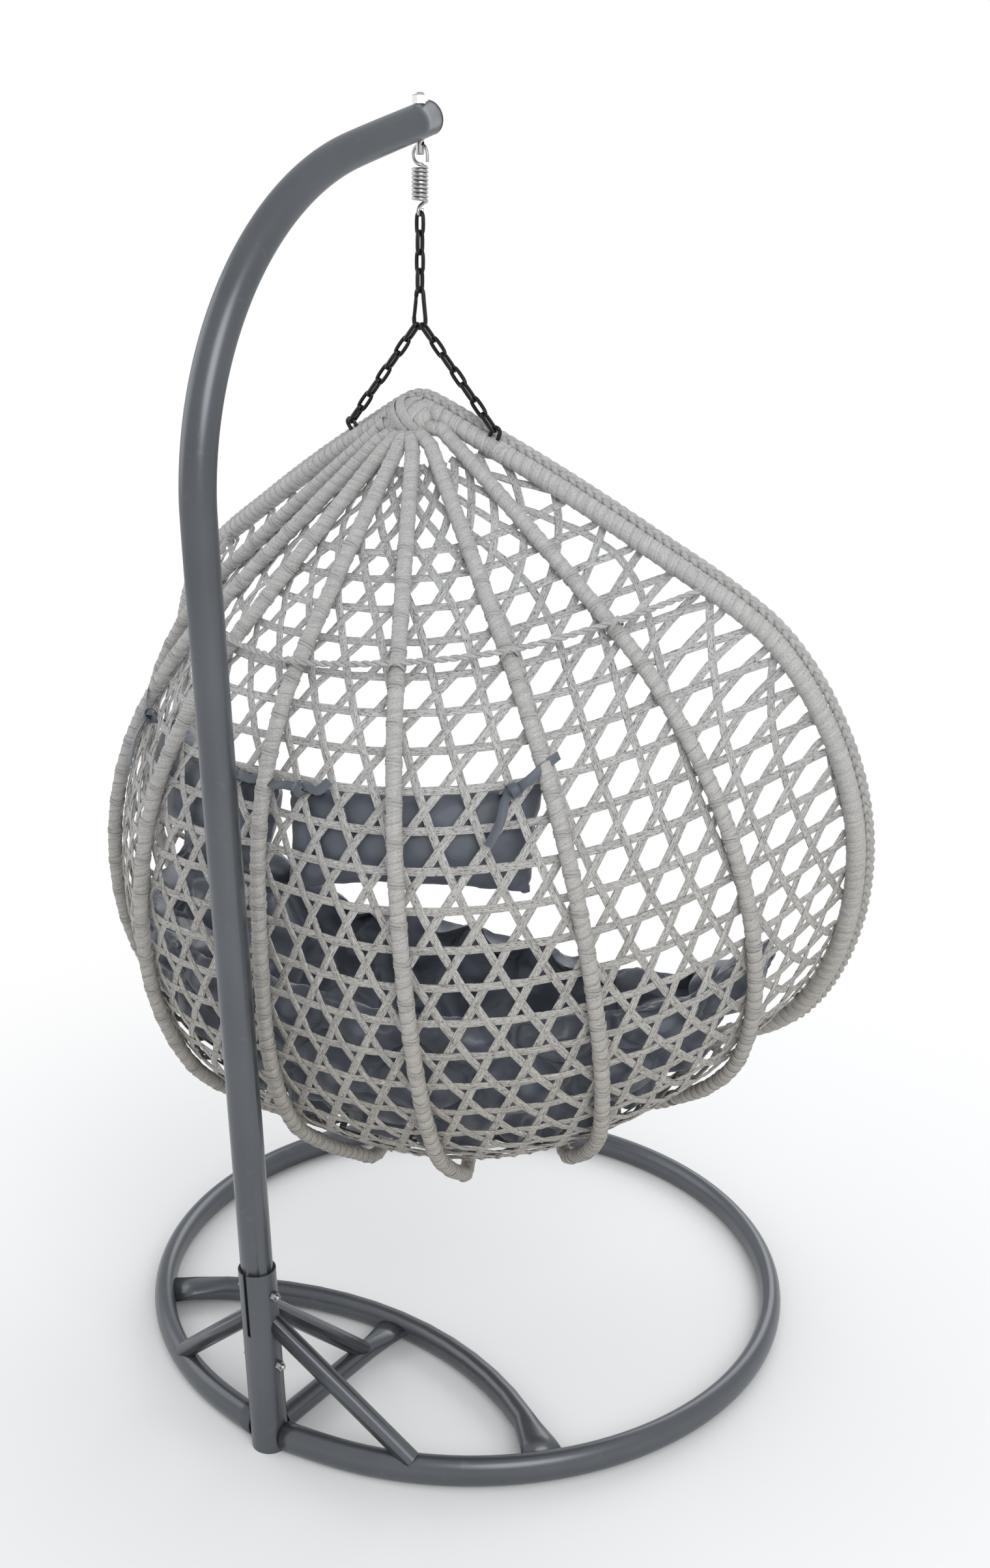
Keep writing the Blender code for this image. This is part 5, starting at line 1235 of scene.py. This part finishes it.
def pillow_place(side, label):
    """A pillow's middle, and its own directions: along, up and towards the sitter."""
    low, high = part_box("head_pillow_" + label)
    turn = side * PILLOW_TURN
    share = share_at_height(turn, PILLOW_Z)
    inner = inward(share, turn)
    along = Vector((math.cos(turn), -math.sin(turn), 0.0))
    along = (along - inner * along.dot(inner)).normalized()
    up = along.cross(inner)
    return (low + high) / 2, along, up if up.z > 0 else -up, inner


for side, label in ((1, "right"), (-1, "left")):
    pad = remeshed("head_pad_" + label, "head_pillow_" + label, PILLOW_VOXEL, PILLOW_SOFTEN)
    middle, along, up, inner = (np.array(vector) for vector in pillow_place(side, label))
    spots = values_of(pad.data, "co") - middle
    u, v, w = spots @ along, spots @ up, spots @ inner
    v_new = v * PILLOW_TALL + PILLOW_UP + side * PILLOW_SLANT * u
    u_new = u * (1.0 - FOOT_DRAWN_IN * np.clip(-v / PILLOW_HALF_TALL, 0.0, 1.0))
    w_new = w * PILLOW_THICK + PILLOW_IN
    move_to(pad.data, middle + u_new[:, None] * along + v_new[:, None] * up + w_new[:, None] * inner)
    edge = np.maximum(np.abs(u) / PILLOW_HALF_LONG, np.abs(v) / PILLOW_HALF_TALL)
    swell(pad, edge > PILLOW_HELD_FROM, PILLOW_PRESSURE, PILLOW_SLACK, PILLOW_CAP)
    wrinkle = np.array([noise(Vector((a * WRINKLE_ALONG, b * WRINKLE_UP, 3.0 + side)))
                        for a, b in zip(u, v)])
    near_edge = np.clip((edge - 0.35) / 0.5, 0.0, 1.0)
    out = wrinkle * WRINKLE * near_edge
    move_to(pad.data, values_of(pad.data, "co") + values_of(pad.data, "normal") * out[:, None])
    keep_inside(pad, wall)
    finish_pad(pad, "head_pillow_" + label)

# ----------------------------------------------------------
# Pillow ties.  A ribbon of the pillow's cloth at each upper corner goes out through the weave, round one
# strand crossing and back, and is knotted on the outside; its two tails hang or stand off as they were left.
# ----------------------------------------------------------
TIE_RIBBON, TIE_RIBBON_THICK, TIE_RIBBON_STEP = 0.0125, 0.0011, 0.004
TIE_AT = 0.128                          # from the pillow's middle, along it
TIE_UP = 0.006
KNOT_OUT = 0.010                        # the knot stands this far outside the weave
KNOT_TURNS, KNOT_POINTS = ((0.9, 0.0085), (-0.7, 0.0100)), 16   # slant and radius of each turn
THROUGH_APART, THROUGH_OUT, THROUGH_IN, CORNER_IN = 0.012, 0.004, 0.012, 0.010
# tails in metres from the knot: along the pillow towards its outer end, up, and away from the basket;
# first the outer corner's two, then the inner corner's
TAILS = ((((0.0, 0.0, 0.0), (0.016, 0.012, 0.008), (0.036, 0.034, 0.010), (0.054, 0.052, 0.004)),
          ((0.0, 0.0, 0.0), (-0.010, -0.016, 0.008), (-0.014, -0.045, 0.009), (-0.026, -0.078, 0.004))),
         (((0.0, 0.0, 0.0), (0.018, 0.004, 0.008), (0.036, -0.002, 0.008), (0.052, 0.012, 0.005)),
          ((0.0, 0.0, 0.0), (-0.018, 0.004, 0.007), (-0.038, 0.004, 0.007), (-0.056, 0.010, 0.003))))


def ribbon(points, spans, swing):
    """A ribbon's run through given points, whose face turns slowly on the way."""
    path = evenly(curve_through(points, spans), TIE_RIBBON_STEP)
    spots = []
    for k, along in enumerate(ways(path, False)):
        out = swing[0].lerp(swing[1], k / (len(path) - 1))
        spots.append((path[k], (out - along * along.dot(out)).normalized()))
    return spots, False


for side, label in ((1, "right"), (-1, "left")):
    middle, along, up, inner = pillow_place(side, label)
    runs = []
    for end in (1, -1):
        rise_here = PILLOW_HALF_TALL * PILLOW_TALL + PILLOW_UP + side * PILLOW_SLANT * end * TIE_AT
        corner = middle + along * end * TIE_AT + up * rise_here
        turn = math.atan2(corner.x, corner.y - basket_axis_y - BASKET_LEAN * (corner.z - BASKET_LEAN_Z))
        on_weave, out = weave_point(share_at_height(turn, corner.z + TIE_UP), turn, 0.0)
        knot = on_weave + out * KNOT_OUT
        across = (along - out * along.dot(out)).normalized()
        rise = across.cross(out)
        rise = rise if rise.z > 0 else -rise
        for number, tail in enumerate(TAILS[0 if end == side else 1]):
            points = [knot + across * a * side + rise * b + out * c for a, b, c in tail]
            runs.append(ribbon(points, 8, (out, (out + rise * (0.7 if number else -0.7)).normalized())))
        # through the weave to the pillow, once on each side of the strand
        for step in (-THROUGH_APART, THROUGH_APART):
            points = [knot + across * step * 0.3, on_weave + across * step + out * THROUGH_OUT,
                      on_weave + across * step - out * THROUGH_IN,
                      corner - up * CORNER_IN - inner * CORNER_IN]
            runs.append(ribbon(points, 6, (across, up)))
        # the knot itself: two short turns over each other
        for slant, size in KNOT_TURNS:
            other = (across + rise * slant).normalized().cross(out).normalized()
            angles = [math.tau * n / KNOT_POINTS for n in range(KNOT_POINTS)]
            loop = [knot + (out * math.cos(a) + other * math.sin(a)) * size for a in angles]
            runs.append(([(point, (point - knot).normalized()) for point in loop], True))
    ties = lay("pillow_ties_" + label, runs, TIE_RIBBON, TIE_RIBBON_THICK, slate_cloth)
    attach(ties, "basket")
